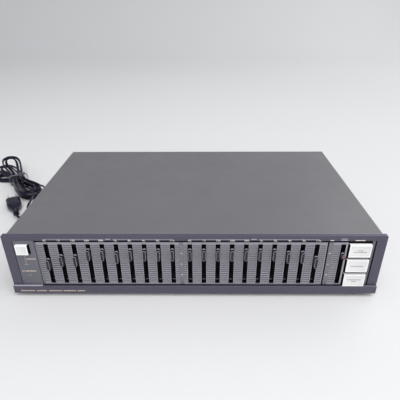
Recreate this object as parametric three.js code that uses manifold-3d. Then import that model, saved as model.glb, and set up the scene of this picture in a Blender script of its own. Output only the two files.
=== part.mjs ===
// A stereo graphic equalizer: a low steel case with ten sliders per channel, an output level slider,
// a power button and three function buttons on its front panel, and a captive mains cord tied in a hank.
//
// Millimetres, +Z up. The front panel faces -Y. Every piece is placed from the centre of the chassis'
// underside. At the end the whole part is moved, so that its origin is on the floor, in the middle of
// the box round the part.
import * as THREE from "three";
import { mergeVertices } from "three/addons/utils/BufferGeometryUtils.js";
import Module from "manifold-3d";

const wasm = await Module();
wasm.setup();

// ---------------------------------------------------------------- driving dimensions

const GAP = 0.2; // clearance between pieces that sit against each other
const SHEET = 1; // steel sheet of the case
const OVERCUT = 1; // how far a cutting solid reaches past the face it cuts

const PANEL = { width: 424, height: 78.5, skin: 2.5, depth: 5, wall: 2, corner: 1.5 };
const WINDOW = { halfWidth: 201.1, bottom: 8.5, top: 72 };
const BAR = { height: 10.5, proud: 2.8, lip: 1.5, grooveFloor: 8, chamfer: 0.4 };

const CASE = { width: 418.4, depth: 251, top: 78, bend: 3, sideFoot: 1.5, lipDrop: 11 };
const TRAY = { sideEdge: 18, frontEdge: 9, rearEdge: 12 };
const VENTS = { count: 9, firstX: -182, pitch: 9, width: 4, y0: 35, y1: 75 };
const CASE_FRONT = -CASE.depth / 2 + GAP;
const CASE_REAR = CASE.depth / 2;
const PANEL_FACE = -CASE.depth / 2 - PANEL.depth;

// Insert plates stand in the window, a little behind the panel's face, on flanges behind its skin.
const INSERT = { recess: 1, flangeFront: 2.7, flangeBack: 3.5, bottom: 10.6, top: 69.6, overlap: 2.4 };
const POWER_PLATE = { left: -200.6, right: -177.3, top: 71.6, recess: 0.3 };
const SLIDER_GRILLE = { left: -176.8, right: 147.7 };
const LEVEL_GRILLE = { left: 149.4, right: 170.4 };
const BUTTON_BEZEL = { left: 170.8, right: 199.9 };

const SLOT = { width: 4.7, length: 54.4 };
const SLIDER_CENTRE_Z = 39.7; // a slider's height at 0 dB
const BAND_PITCH = 15.67;
const BANDS = 10;
const FIRST_BAND_X = { left: -164.7, right: -4.25 };
const LEVEL_X = 165.7;

// Height above 0 dB of each slider as it is set, lowest band first, and of the level slider.
const SETTING = {
  left: [1.6, 7, 7, 15, 15, 11.6, 15, 15, 15, 15],
  right: [15, 15, 15, 15, 15, 15, 15, 12, 12, 5.2],
  level: 13.4,
};

const KNOB = {
  collar: { width: 4.2, height: 15.8, front: -0.7, back: 0.6 },
  neck: { width: 2.8, height: 12.4 },
  cap: { width: 3.8, height: 13.6, front: -4.8, back: -3 },
  blade: { width: 1.2, height: 4, back: 10 },
};
const LEVEL_KNOB_SHORTER = 7.2; // the level knob is this much less tall than a band knob

const BUTTON = {
  left: 171.6, width: 24.4, height: 16.5, firstTop: 68, pitch: 20.3,
  proud: 2.5, depth: 11, chamfer: 0.5, clearance: 0.3,
};
const POWER_BUTTON = { left: -198.2, right: -184.5, bottom: 54.2, top: 66.9 };
const POWER_HOLE = { left: -198.8, right: -182.9, bottom: 53.6, top: 67.5 };
const PLUNGER = { size: 5, back: 27 };

const POT = { width: 8.6, front: 6, back: 14, length: 57.6, slot: 2.2, slotLength: 36.4, slotDepth: 5 };
const POT_LUG = { width: 4.7, height: 2.4, centreZ: 14.6, proud: 0.6 };
const POT_RAIL = { height: 6, thickness: 0.8, offset: 23 };
const BOARD_THICKNESS = 1.6;
const SLIDER_BOARD = { left: -186, right: 168.5, bottom: 10, top: 70, front: 15 };
const SWITCH = { front: 21, depth: 26, channelDepth: 12, clearance: 0.3 };

const FOOT = { radius: 14.5, toeRadius: 13, height: 5, x: 168, y: 92 };
const FLOOR = -FOOT.height;
const SCREW = { height: 2.1, radius: 3.6, faceRadius: 2.7, crossDepth: 0.9, crossWidth: 1, crossLength: 3.8 };
const SIDE_SCREW = { z: 12, front: -86, rear: 86 };
const LIP_SCREW = { x: 120, drop: 6 };

const MAIN_BOARD = { x0: -62, x1: 196, y0: -58, y1: 84, z: 8, inset: 8 };
const RIBBON = { x0: 10, x1: 62, edge: 2, thickness: 1.2, slant: 0.6, socket: 7, reach: 62 };
const TRANSFORMER = { x: -146, y: 55 };
const HEATSINK = { x: -20, y: 60, height: 30, depth: 12, fins: 7, finPitch: 5, finThickness: 1.2 };
const REAR_PANEL_Y = CASE_REAR - 2.4; // its outer face
const JACK = {
  pitchX: 16, pitchZ: 20, centreZ: 42, proud: 9.5, bodyDepth: 14,
  sleeveRadius: 4.2, flangeRadius: 5.6, flangeProud: 1.2, socketRadius: 1.7,
};
const JACK_BLOCK_X = { line: 118, tape: 166 };
const CORD = { radius: 2.6, exitX: -172, exitZ: 24 };
const BUSHING = { neck: 6.4, flange: 8.5, flangeThickness: 2.5, tail: 4.6, tailLength: 14 };
// The cord's hank is wound in layers of two turns and tied at its waist. Its length lies along its group's Y.
// Each layer's far lobe has its own length and leans away from the hank's length by its own angle.
const HANK = {
  x: -335,
  y: 173,
  lean: 0.5,
  farLength: [58, 67, 76],
  farLean: [-0.8, -0.4, -0.1],
  nearLength: [62, 70, 78],
  nearLean: [0.42, 0.34, 0.26],
  bend: 35, // length over which a lobe turns to its lean
  lobe: 26,
  turns: 6,
  turnSpacing: 5.8,
  spread: 0.4, // share by which the turns stand further apart at the lobes' ends
  layerHeight: 5.6,
  farLift: 6, // a layer's rise at its far end
  nearLift: 2, // and at its near end
  climb: 0.15, // share of a turn spent on each side of a climb to the next layer
};
const TIE = { width: 7, thickness: 1.6, corner: 5 };
const PLUG = {
  x: -18, neckY: -130, rearY: -112, frontY: -76, width: 23, height: 13, shoulder: 12, rearWidth: 10,
};
const BLADE = { length: 17, pitch: 12.7, width: 6.3, thickness: 1.5 };

// ---------------------------------------------------------------- materials

const paint = (color, roughness, metalness) =>
  new THREE.MeshStandardMaterial({ color, roughness, metalness });
const MATERIAL = {
  panel: paint(0x4b4a57, 0.45, 0.2),
  grille: paint(0x75757c, 0.5, 0.3),
  powerPlate: paint(0x53565c, 0.45, 0.2),
  casePaint: paint(0x6f6f74, 0.6, 0.1),
  steel: paint(0xa8a8aa, 0.4, 0.8),
  silver: paint(0xd9d9dc, 0.35, 0.2),
  knob: paint(0x2a2a30, 0.4, 0),
  black: paint(0x101012, 0.6, 0),
  rubber: paint(0x18181a, 0.85, 0),
  board: paint(0x6b4a26, 0.6, 0),
  iron: paint(0x4a4a4c, 0.6, 0.6),
};

// ---------------------------------------------------------------- solids

function toSolid(geometry) {
  const bare = geometry.index ? geometry.toNonIndexed() : geometry.clone();
  bare.deleteAttribute("normal");
  bare.deleteAttribute("uv");
  const merged = mergeVertices(bare, 1e-4);
  return new wasm.Manifold(
    new wasm.Mesh({
      numProp: 3,
      vertProperties: merged.attributes.position.array,
      triVerts: new Uint32Array(merged.index.array),
    }),
  );
}

function toGeometry(solid) {
  const mesh = solid.getMesh();
  const geometry = new THREE.BufferGeometry();
  geometry.setAttribute("position", new THREE.BufferAttribute(mesh.vertProperties, 3));
  geometry.setIndex(new THREE.BufferAttribute(mesh.triVerts, 1));
  return geometry;
}

// A box given by its two limits along X, Y and Z.
function box(x0, x1, y0, y1, z0, z1) {
  const geometry = new THREE.BoxGeometry(x1 - x0, y1 - y0, z1 - z0);
  geometry.translate((x0 + x1) / 2, (y0 + y1) / 2, (z0 + z1) / 2);
  return toSolid(geometry);
}

// A shape drawn in X and Z, given thickness from y0 to y1.
function plate(shape, y0, y1, curveSegments = 5) {
  const options = { depth: y1 - y0, bevelEnabled: false, curveSegments };
  const geometry = new THREE.ExtrudeGeometry(shape, options);
  geometry.rotateX(Math.PI / 2);
  geometry.translate(0, y1, 0);
  return toSolid(geometry);
}

// A shape drawn in Y and Z, given length from x0 to x1.
function bar(shape, x0, x1) {
  const geometry = new THREE.ExtrudeGeometry(shape, { depth: x1 - x0, bevelEnabled: false });
  geometry.rotateX(Math.PI / 2);
  geometry.rotateZ(Math.PI / 2);
  geometry.translate(x0, 0, 0);
  return toSolid(geometry);
}

// A cylinder along X, Y or Z from one coordinate to another, centred on the other two.
function rod(axis, from, to, a, b, radius, segments = 24, endRadius = radius) {
  const geometry = new THREE.CylinderGeometry(endRadius, radius, to - from, segments);
  geometry.translate(0, (from + to) / 2, 0);
  if (axis === "x") {
    geometry.rotateZ(-Math.PI / 2);
    geometry.translate(0, a, b);
  } else if (axis === "y") {
    geometry.translate(a, 0, b);
  } else {
    geometry.rotateX(Math.PI / 2);
    geometry.translate(a, b, 0);
  }
  return toSolid(geometry);
}

const join = (solids) => solids.reduce((whole, solid) => whole.add(solid));
const cut = (solid, holes) => holes.reduce((left, hole) => left.subtract(hole), solid);

function piece(name, solid, material, parent, position = [0, 0, 0]) {
  const mesh = new THREE.Mesh(toGeometry(solid), material);
  mesh.name = name;
  mesh.position.set(...position);
  parent.add(mesh);
  return mesh;
}

// ---------------------------------------------------------------- outlines

function roundedRectangle(x0, x1, z0, z1, r) {
  const shape = new THREE.Shape();
  shape.moveTo(x0 + r, z0);
  shape.lineTo(x1 - r, z0);
  shape.absarc(x1 - r, z0 + r, r, -Math.PI / 2, 0);
  shape.lineTo(x1, z1 - r);
  shape.absarc(x1 - r, z1 - r, r, 0, Math.PI / 2);
  shape.lineTo(x0 + r, z1);
  shape.absarc(x0 + r, z1 - r, r, Math.PI / 2, Math.PI);
  shape.lineTo(x0, z0 + r);
  shape.absarc(x0 + r, z0 + r, r, Math.PI, 1.5 * Math.PI);
  return shape;
}

// An upright lozenge with half-round ends, centred on the origin.
const lozenge = ({ width, height }) =>
  roundedRectangle(-width / 2, width / 2, -height / 2, height / 2, width / 2 - 0.01);

function polygon(points) {
  return new THREE.Shape(points.map(([x, y]) => new THREE.Vector2(x, y)));
}

const bandX = (side, band) => FIRST_BAND_X[side] + band * BAND_PITCH;

// A hole through an insert plate, for a slider or a button.
const insertHole = (x0, x1, z0, z1) =>
  box(x0, x1, INSERT.recess - OVERCUT, INSERT.flangeBack + OVERCUT, z0, z1);

const sliderSlot = (x) => insertHole(
  x - SLOT.width / 2, x + SLOT.width / 2,
  SLIDER_CENTRE_Z - SLOT.length / 2, SLIDER_CENTRE_Z + SLOT.length / 2,
);

// ---------------------------------------------------------------- front panel group
// Everything in this group is measured from the panel's face, at y = 0, towards the back.

const equalizer = new THREE.Group();
const front = new THREE.Group();
front.position.y = PANEL_FACE;
equalizer.add(front);

function frontPanel() {
  const half = PANEL.width / 2;
  const { depth, height, wall } = PANEL;
  const outer = plate(roundedRectangle(-half, half, GAP, height, PANEL.corner), 0, depth, 4);
  const hollow = box(-half + wall, half - wall, PANEL.skin, depth + OVERCUT, wall + GAP, height - wall);
  const window = box(-WINDOW.halfWidth, WINDOW.halfWidth, -OVERCUT, depth, WINDOW.bottom, WINDOW.top);
  return cut(outer, [hollow, window]);
}

// The bar across the foot of the panel has a lip, with a groove behind it below the sliders.
function trimBar() {
  const profile = polygon([
    [-BAR.proud, GAP],
    [-GAP, GAP],
    [-GAP, BAR.height],
    [-BAR.proud + BAR.chamfer, BAR.height],
    [-BAR.proud, BAR.height - BAR.chamfer],
  ]);
  const groove = box(
    SLIDER_GRILLE.left, LEVEL_GRILLE.right,
    -BAR.proud + BAR.lip, OVERCUT,
    BAR.grooveFloor, BAR.height + OVERCUT,
  );
  return cut(bar(profile, -PANEL.width / 2, PANEL.width / 2), [groove]);
}

// An insert plate: a face that stands in the window, on a wider flange behind the panel's skin.
function insert({ left, right, top = INSERT.top, recess = INSERT.recess }) {
  const face = box(left, right, recess, INSERT.flangeBack, INSERT.bottom, top);
  const flange = box(
    left, right,
    INSERT.flangeFront, INSERT.flangeBack,
    WINDOW.bottom - INSERT.overlap, WINDOW.top + INSERT.overlap,
  );
  return join([face, flange]);
}

function sliderGrille() {
  const slots = ["left", "right"].flatMap((side) =>
    Array.from({ length: BANDS }, (_, band) => sliderSlot(bandX(side, band))),
  );
  return cut(insert(SLIDER_GRILLE), slots);
}

const levelGrille = () => cut(insert(LEVEL_GRILLE), [sliderSlot(LEVEL_X)]);

function powerPlate() {
  const { left, right, bottom, top } = POWER_HOLE;
  return cut(insert(POWER_PLATE), [insertHole(left, right, bottom, top)]);
}

const buttonTop = (row) => BUTTON.firstTop - row * BUTTON.pitch;
const buttonBottom = (row) => buttonTop(row) - BUTTON.height;

function buttonBezel() {
  const { left, width, clearance } = BUTTON;
  const holes = [0, 1, 2].map((row) => insertHole(
    left - clearance, left + width + clearance,
    buttonBottom(row) - clearance, buttonTop(row) + clearance,
  ));
  return cut(insert(BUTTON_BEZEL), holes);
}

// A push button: a cap with a stepped edge on a square plunger. The cap's lower left corner is at the origin.
function pushButton(width, height) {
  const { chamfer, proud, depth } = BUTTON;
  const half = PLUNGER.size / 2;
  return join([
    box(chamfer, width - chamfer, -proud, -proud + chamfer, chamfer, height - chamfer),
    box(0, width, -proud + chamfer, -proud + depth, 0, height),
    box(width / 2 - half, width / 2 + half, 0, PLUNGER.back, height / 2 - half, height / 2 + half),
  ]);
}

// A slider's knob: a collar at the panel's face, a narrow neck and a cap in front, on the slider's blade.
function sliderKnob(shorter = 0) {
  const { collar, neck, cap, blade } = KNOB;
  const embed = 0.2; // how far the neck reaches into the cap and the collar
  const segments = 3;
  const slab = ({ width, height }, y0, y1) =>
    plate(lozenge({ width, height: height - shorter }), y0, y1, segments);
  return join([
    slab(collar, collar.front, collar.back),
    slab(neck, cap.back - embed, collar.front + embed),
    slab(cap, cap.front, cap.back),
    box(-blade.width / 2, blade.width / 2, 0, blade.back, -blade.height / 2, blade.height / 2),
  ]);
}

// ---------------------------------------------------------------- controls behind the panel

// A slide potentiometer's housing, open along its front for the blade, with a lug at its lower end.
function slidePot(x) {
  const upright = (width, y0, y1, middleZ, length) =>
    box(x - width / 2, x + width / 2, y0, y1, middleZ - length / 2, middleZ + length / 2);
  const { front: face, back, slotDepth } = POT;
  const housing = upright(POT.width, face, back, SLIDER_CENTRE_Z, POT.length);
  const opening = upright(POT.slot, face - OVERCUT, face + slotDepth, SLIDER_CENTRE_Z, POT.slotLength);
  const lug = upright(POT_LUG.width, face - POT_LUG.proud, back, POT_LUG.centreZ, POT_LUG.height);
  return join([cut(housing, [opening]), lug]);
}

// Two rails hold a row of potentiometers together.
function potBank(xs) {
  const rails = [-POT_RAIL.offset, POT_RAIL.offset].map((offset) => {
    const z = SLIDER_CENTRE_Z + offset;
    return box(
      xs[0] - POT.width / 2, xs.at(-1) + POT.width / 2,
      POT.back - SHEET, POT.back + POT_RAIL.thickness,
      z - POT_RAIL.height / 2, z + POT_RAIL.height / 2,
    );
  });
  return join([...xs.map(slidePot), ...rails]);
}

const sliderBoard = () => box(
  SLIDER_BOARD.left, SLIDER_BOARD.right,
  SLIDER_BOARD.front, SLIDER_BOARD.front + BOARD_THICKNESS,
  SLIDER_BOARD.bottom, SLIDER_BOARD.top,
);

// A switch body with an open channel for each plunger, given by the channel centres.
function switchBody(x0, x1, z0, z1, channels) {
  const half = PLUNGER.size / 2 + SWITCH.clearance;
  const body = box(x0, x1, SWITCH.front, SWITCH.front + SWITCH.depth, z0, z1);
  const channel = ([x, z]) => box(
    x - half, x + half, SWITCH.front - OVERCUT, SWITCH.front + SWITCH.channelDepth, z - half, z + half,
  );
  return cut(body, channels.map(channel));
}

// ---------------------------------------------------------------- case

// The cover is one sheet bent over the top and both sides, with a lip folded down at the back.
function topCover() {
  const half = CASE.width / 2;
  const { top, bend } = CASE;
  const bottom = -2 * bend; // below the sides' lower edges, so that the lower bends are cut off
  const outer = roundedRectangle(-half, half, bottom, top, bend);
  const inner = roundedRectangle(-half + SHEET, half - SHEET, bottom, top - SHEET, bend - SHEET);
  const shell = cut(plate(outer, CASE_FRONT, CASE_REAR), [
    plate(inner, CASE_FRONT - OVERCUT, CASE_REAR + OVERCUT),
    box(
      -half - OVERCUT, half + OVERCUT,
      CASE_FRONT - OVERCUT, CASE_REAR + OVERCUT,
      bottom - OVERCUT, CASE.sideFoot,
    ),
  ]);
  const lip = box(
    -half + bend, half - bend, CASE_REAR - SHEET, CASE_REAR, top - CASE.lipDrop, top - SHEET / 2,
  );
  return join([shell, lip]);
}

// The chassis is a tray with turned-up edges, vents under the transformer and posts for the main board.
function chassis() {
  const half = CASE.width / 2 - SHEET - GAP;
  const y0 = CASE_FRONT + GAP;
  const y1 = REAR_PANEL_Y - SHEET - GAP;
  const tray = join([
    box(-half, half, y0, y1, 0, SHEET),
    box(-half, -half + SHEET, y0, y1, 0, TRAY.sideEdge),
    box(half - SHEET, half, y0, y1, 0, TRAY.sideEdge),
    box(-half, half, y0, y0 + SHEET, 0, TRAY.frontEdge),
    box(-half, half, y1 - SHEET, y1, 0, TRAY.rearEdge),
    ...boardPosts(),
  ]);
  const vents = Array.from({ length: VENTS.count }, (_, i) => {
    const x = VENTS.firstX + i * VENTS.pitch;
    return box(x, x + VENTS.width, VENTS.y0, VENTS.y1, -OVERCUT, SHEET + OVERCUT);
  });
  return cut(tray, vents);
}

// The rear panel has holes for the eight phono jacks and for the cord's bushing.
function rearPanel() {
  const half = CASE.width / 2 - SHEET - GAP;
  const outline = roundedRectangle(-half, half, GAP, CASE.top - SHEET - GAP, CASE.bend - SHEET);
  const sheet = plate(outline, REAR_PANEL_Y - SHEET, REAR_PANEL_Y);
  const hole = (x, z, radius) =>
    rod("y", REAR_PANEL_Y - SHEET - OVERCUT, REAR_PANEL_Y + OVERCUT, x, z, radius);
  const jackHoles = Object.values(JACK_BLOCK_X).flatMap((x) =>
    jackPlaces(x).map(([jx, jz]) => hole(jx, jz, JACK.flangeRadius + GAP)));
  return cut(sheet, [...jackHoles, hole(CORD.exitX, CORD.exitZ, BUSHING.neck + GAP)]);
}

// The places of a block's four jacks, in X and Z.
const jackPlaces = (x) => [-0.5, 0.5].flatMap((i) =>
  [-0.5, 0.5].map((k) => [x + i * JACK.pitchX, JACK.centreZ + k * JACK.pitchZ]));

// A block of four phono jacks: a moulded body inside the case, with metal sleeves through the rear panel.
function jackBlock(x) {
  const inner = REAR_PANEL_Y - SHEET - GAP;
  const mouth = REAR_PANEL_Y + JACK.proud;
  const body = box(
    x - JACK.pitchX, x + JACK.pitchX,
    inner - JACK.bodyDepth, inner,
    JACK.centreZ - JACK.pitchZ, JACK.centreZ + JACK.pitchZ,
  );
  const sleeves = jackPlaces(x).flatMap(([jx, jz]) => [
    rod("y", inner - SHEET, REAR_PANEL_Y + JACK.flangeProud, jx, jz, JACK.flangeRadius, 20),
    rod("y", inner - SHEET, mouth, jx, jz, JACK.sleeveRadius, 20),
  ]);
  const sockets = jackPlaces(x).map(([jx, jz]) =>
    rod("y", inner + SHEET, mouth + OVERCUT, jx, jz, JACK.socketRadius, 12));
  return cut(join([body, ...sleeves]), sockets);
}

const foot = () => rod("z", FLOOR, -GAP, 0, 0, FOOT.toeRadius, 28, FOOT.radius);

// A cross-head screw's head, standing along +X from the sheet it holds.
function screw() {
  const { height, radius, faceRadius, crossDepth, crossWidth, crossLength } = SCREW;
  const head = rod("x", GAP, height, 0, 0, radius, 16, faceRadius);
  const arm = (width, length) => box(
    height - crossDepth, height + OVERCUT, -width / 2, width / 2, -length / 2, length / 2,
  );
  return cut(head, [arm(crossWidth, crossLength), arm(crossLength, crossWidth)]);
}

// ---------------------------------------------------------------- inside the case

const MAIN_BOARD_TOP = MAIN_BOARD.z + BOARD_THICKNESS;

// Four posts pressed out of the tray carry the main board.
function boardPosts() {
  const { x0, x1, y0, y1, z, inset } = MAIN_BOARD;
  return [x0 + inset, x1 - inset].flatMap((x) =>
    [y0 + inset, y1 - inset].map((y) => rod("z", SHEET / 2, z - GAP, x, y, 4, 16, 3)));
}

function mainBoard() {
  const { x0, x1, y0, y1, z } = MAIN_BOARD;
  return box(x0, x1, y0, y1, z, MAIN_BOARD_TOP);
}

// A laminated core with a winding through it, on a mounting strap.
function transformer() {
  const core = box(-28, 28, -24, 24, 4, 50);
  const winding = box(-19, 19, -33, 33, 8, 46);
  const strap = box(-40, 40, -12, 12, SHEET + GAP, 5);
  return join([core, winding, strap]);
}

function heatsink() {
  const { height, depth, fins, finPitch, finThickness } = HEATSINK;
  const half = (finPitch * (fins - 1) + finThickness) / 2;
  const web = box(-half, half, -finThickness, finThickness / 2, 0, height);
  const combs = Array.from({ length: fins }, (_, i) => {
    const x = i * finPitch - half;
    return box(x, x + finThickness, 0, depth, 0, height);
  });
  return join([web, ...combs]);
}

// A flat cable between a socket on the slider board and one on the main board.
function ribbonCable() {
  const { x0, x1, edge, thickness, slant, socket, reach } = RIBBON;
  const from = PANEL_FACE + SLIDER_BOARD.front + BOARD_THICKNESS + GAP;
  const to = from + reach;
  const boardTop = MAIN_BOARD_TOP + GAP;
  const upper = [[from + 4, 36], [from + 12, 35], [from + 24, 27], [from + 38, 16], [to, boardTop + 4.4]];
  const lower = upper.map(([y, z]) => [y - slant, z - thickness]).reverse();
  return join([
    bar(polygon([...upper, ...lower]), x0 + edge, x1 - edge),
    box(x0, x1, from, from + socket, 31, 31 + socket),
    box(x0, x1, to - socket / 2, to + socket / 2, boardTop, boardTop + socket),
  ]);
}

// ---------------------------------------------------------------- mains cord

// The bushing grips the rear panel between its flange and its neck, and a tapered tail guards the cord.
function bushing() {
  const { neck, flange, flangeThickness, tail, tailLength } = BUSHING;
  const inside = REAR_PANEL_Y - SHEET - 3;
  const outside = REAR_PANEL_Y + GAP;
  const end = outside + tailLength;
  const round = (y0, y1, radius, segments, endRadius) =>
    rod("y", y0, y1, CORD.exitX, CORD.exitZ, radius, segments, endRadius);
  const grip = join([
    round(inside, outside + 1, neck, 24),
    round(outside, outside + flangeThickness, flange, 24),
    round(outside + 1, end, neck, 24, tail),
  ]);
  return cut(grip, [round(inside - OVERCUT, end + OVERCUT, CORD.radius + 2 * GAP, 16)]);
}

const REST = FLOOR + CORD.radius + GAP; // height of the cord's middle where it lies on the floor
const PLUG_MIDDLE = FLOOR + GAP + PLUG.height / 2;
const smooth = THREE.MathUtils.smoothstep;

// A place in a lobe that has turned by `lean`, for a point x across and y along the straight lobe.
function leaning(x, y, lean) {
  const heading = (lean * Math.min(y, HANK.bend)) / HANK.bend;
  const radius = HANK.bend / lean;
  const beyond = Math.max(0, y - HANK.bend);
  const [sine, cosine] = [Math.sin(heading), Math.cos(heading)];
  return [
    radius * (1 - cosine) + beyond * sine + x * cosine,
    radius * sine + beyond * cosine - x * sine,
  ];
}

// A value between a list's entries, for a layer that may be on its way from one whole number to the next.
function atLayer(values, layer) {
  const below = Math.min(Math.floor(layer), values.length - 2);
  return THREE.MathUtils.lerp(values[below], values[below + 1], layer - below);
}

// The hank's innermost turn is a figure with two lobes, and every turn follows it at an even distance.
// The turns spiral inwards on the floor, outwards on top of that, and inwards again as the third layer.
function hankPoint(turn) {
  const { climb } = HANK;
  const layer = smooth(turn, 2 - climb, 2 + climb) + smooth(turn, 4 - climb, 4 + climb);
  const angle = Math.PI * (1 + 2 * turn);
  const far = Math.cos(angle) > 0;
  const length = atLayer(far ? HANK.farLength : HANK.nearLength, layer);
  const loop = (a) => new THREE.Vector2(
    Math.sin(a) * HANK.lobe * Math.cos(a) ** 2,
    length * Math.cos(a),
  );
  const step = 0.01;
  const tangent = loop(angle + step).sub(loop(angle - step)).normalize();
  const towardsEnd = Math.cos(angle) ** 2;
  const outward = HANK.turnSpacing * Math.abs((turn % 4) - 2) * (1 + HANK.spread * towardsEnd);
  const flat = loop(angle).add(new THREE.Vector2(-tangent.y, tangent.x).multiplyScalar(outward));
  const lean = atLayer(far ? HANK.farLean : HANK.nearLean, layer);
  const [x, reach] = leaning(flat.x, Math.abs(flat.y), lean);
  const lift = layer * (far ? HANK.farLift : HANK.nearLift) * towardsEnd;
  const overTie = (TIE.thickness + GAP) * Math.sin(angle) ** 4;
  return [x, far ? reach : -reach, REST + layer * HANK.layerHeight + lift + overTie];
}

// The cord leaves the bushing, drops to the floor, winds the hank and crosses its top to reach the plug.
function cordPath() {
  const toHank = new THREE.Matrix4().makeRotationZ(-HANK.lean)
    .multiply(new THREE.Matrix4().makeTranslation(-HANK.x, -HANK.y, 0));
  const fromCase = [
    [CORD.exitX, REAR_PANEL_Y - 12, CORD.exitZ],
    [CORD.exitX, REAR_PANEL_Y + 16, CORD.exitZ],
    [CORD.exitX - 1, REAR_PANEL_Y + 28, CORD.exitZ - 3],
    [CORD.exitX - 8, REAR_PANEL_Y + 44, CORD.exitZ - 18],
    [CORD.exitX - 24, REAR_PANEL_Y + 52, REST + 1.6],
    [CORD.exitX - 50, REAR_PANEL_Y + 51, REST],
    [CORD.exitX - 72, REAR_PANEL_Y + 41, REST],
  ].map((p) => new THREE.Vector3(...p).applyMatrix4(toHank));
  const pointsPerTurn = 26;
  const turns = Array.from(
    { length: HANK.turns * pointsPerTurn + 1 },
    (_, i) => hankPoint(i / pointsPerTurn),
  );
  const [lastX, lastY, lastZ] = turns.at(-1);
  const toPlug = [
    [lastX - 9, lastY - 3.5, lastZ + 6],
    [lastX - 15, lastY - 10, lastZ + 6.5],
    [lastX - 17, lastY - 20, lastZ + 2],
    [PLUG.x + 18, PLUG.neckY + 1, PLUG_MIDDLE + 6],
    [PLUG.x + 18, PLUG.neckY - 8, PLUG_MIDDLE + 3],
    [PLUG.x + 15.4, PLUG.neckY - 14.4, PLUG_MIDDLE + 1],
    [PLUG.x + 9, PLUG.neckY - 17, PLUG_MIDDLE],
    [PLUG.x + 2.6, PLUG.neckY - 14.4, PLUG_MIDDLE],
    [PLUG.x, PLUG.neckY - 8, PLUG_MIDDLE],
    [PLUG.x, PLUG.neckY - 3, PLUG_MIDDLE],
    [PLUG.x, PLUG.neckY, PLUG_MIDDLE],
    [PLUG.x, PLUG.rearY + 4, PLUG_MIDDLE],
  ];
  const inHank = [...turns, ...toPlug].map((p) => new THREE.Vector3(...p));
  return new THREE.CatmullRomCurve3([...fromCase, ...inHank], false, "centripetal");
}

function powerCord() {
  const section = new THREE.Shape();
  section.absarc(0, 0, CORD.radius, 0, 2 * Math.PI);
  const options = { steps: 220, extrudePath: cordPath(), bevelEnabled: false, curveSegments: 4 };
  return toSolid(new THREE.ExtrudeGeometry(section, options));
}

// A band round the hank's waist.
function cordTie() {
  const half = 2 * HANK.turnSpacing + CORD.radius + 2 * GAP;
  const { width, thickness, corner } = TIE;
  const bottom = FLOOR + GAP + thickness;
  const top = REST + 2 * HANK.layerHeight + CORD.radius + thickness + 3 * GAP;
  const inner = roundedRectangle(-half, half, bottom, top, corner - thickness);
  const outer = roundedRectangle(
    -half - thickness, half + thickness, bottom - thickness, top + thickness, corner,
  );
  return cut(plate(outer, -width / 2, width / 2), [plate(inner, -width, width)]);
}

// A moulded two-pin plug with flat blades, lying on the floor with its blades along +Y.
function powerPlug() {
  const { x, neckY, rearY, frontY, width, height, shoulder, rearWidth } = PLUG;
  const outline = polygon([
    [x - width / 2, frontY], [x - width / 2, rearY + shoulder], [x - rearWidth / 2, rearY],
    [x + rearWidth / 2, rearY], [x + width / 2, rearY + shoulder], [x + width / 2, frontY],
  ]);
  const body = new THREE.ExtrudeGeometry(outline, { depth: height, bevelEnabled: false });
  body.translate(0, 0, PLUG_MIDDLE - height / 2);
  const neck = rod("y", neckY, rearY + 6, x, PLUG_MIDDLE, 4.4, 16, 5);
  const blades = [-0.5, 0.5].map((side) => {
    const bx = x + side * BLADE.pitch;
    return box(
      bx - BLADE.thickness / 2, bx + BLADE.thickness / 2,
      frontY - 1, frontY + BLADE.length,
      PLUG_MIDDLE - BLADE.width / 2, PLUG_MIDDLE + BLADE.width / 2,
    );
  });
  const bore = rod("y", neckY - OVERCUT, rearY + 5, x, PLUG_MIDDLE, CORD.radius + 2 * GAP, 16);
  return cut(join([toSolid(body), neck, ...blades]), [bore]);
}

// ---------------------------------------------------------------- assembly

piece("front_panel", frontPanel(), MATERIAL.panel, front);
piece("trim_bar", trimBar(), MATERIAL.panel, front);
piece("power_plate", powerPlate(), MATERIAL.powerPlate, front);
piece("slider_grille", sliderGrille(), MATERIAL.grille, front);
piece("level_grille", levelGrille(), MATERIAL.grille, front);
piece("button_bezel", buttonBezel(), MATERIAL.powerPlate, front);

const bandKnob = sliderKnob();
for (const side of ["left", "right"]) {
  for (let band = 0; band < BANDS; band += 1) {
    const name = `${side}_band_${String(band + 1).padStart(2, "0")}_knob`;
    const z = SLIDER_CENTRE_Z + SETTING[side][band];
    piece(name, bandKnob, MATERIAL.knob, front, [bandX(side, band), 0, z]);
  }
}
const levelZ = SLIDER_CENTRE_Z + SETTING.level;
piece("level_knob", sliderKnob(LEVEL_KNOB_SHORTER), MATERIAL.knob, front, [LEVEL_X, 0, levelZ]);

const functionButton = pushButton(BUTTON.width, BUTTON.height);
["tape_monitor_button", "equalizer_button", "recording_button"].forEach((name, row) => {
  piece(name, functionButton, MATERIAL.silver, front, [BUTTON.left, 0, buttonBottom(row)]);
});
const powerWidth = POWER_BUTTON.right - POWER_BUTTON.left;
const powerHeight = POWER_BUTTON.top - POWER_BUTTON.bottom;
piece("power_button", pushButton(powerWidth, powerHeight), MATERIAL.silver, front,
  [POWER_BUTTON.left, 0, POWER_BUTTON.bottom]);

for (const side of ["left", "right"]) {
  const xs = Array.from({ length: BANDS }, (_, band) => bandX(side, band));
  piece(`${side}_slider_pots`, potBank(xs), MATERIAL.black, front);
}
piece("level_slider_pot", slidePot(LEVEL_X), MATERIAL.black, front);
piece("slider_board", sliderBoard(), MATERIAL.board, front);

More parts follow.
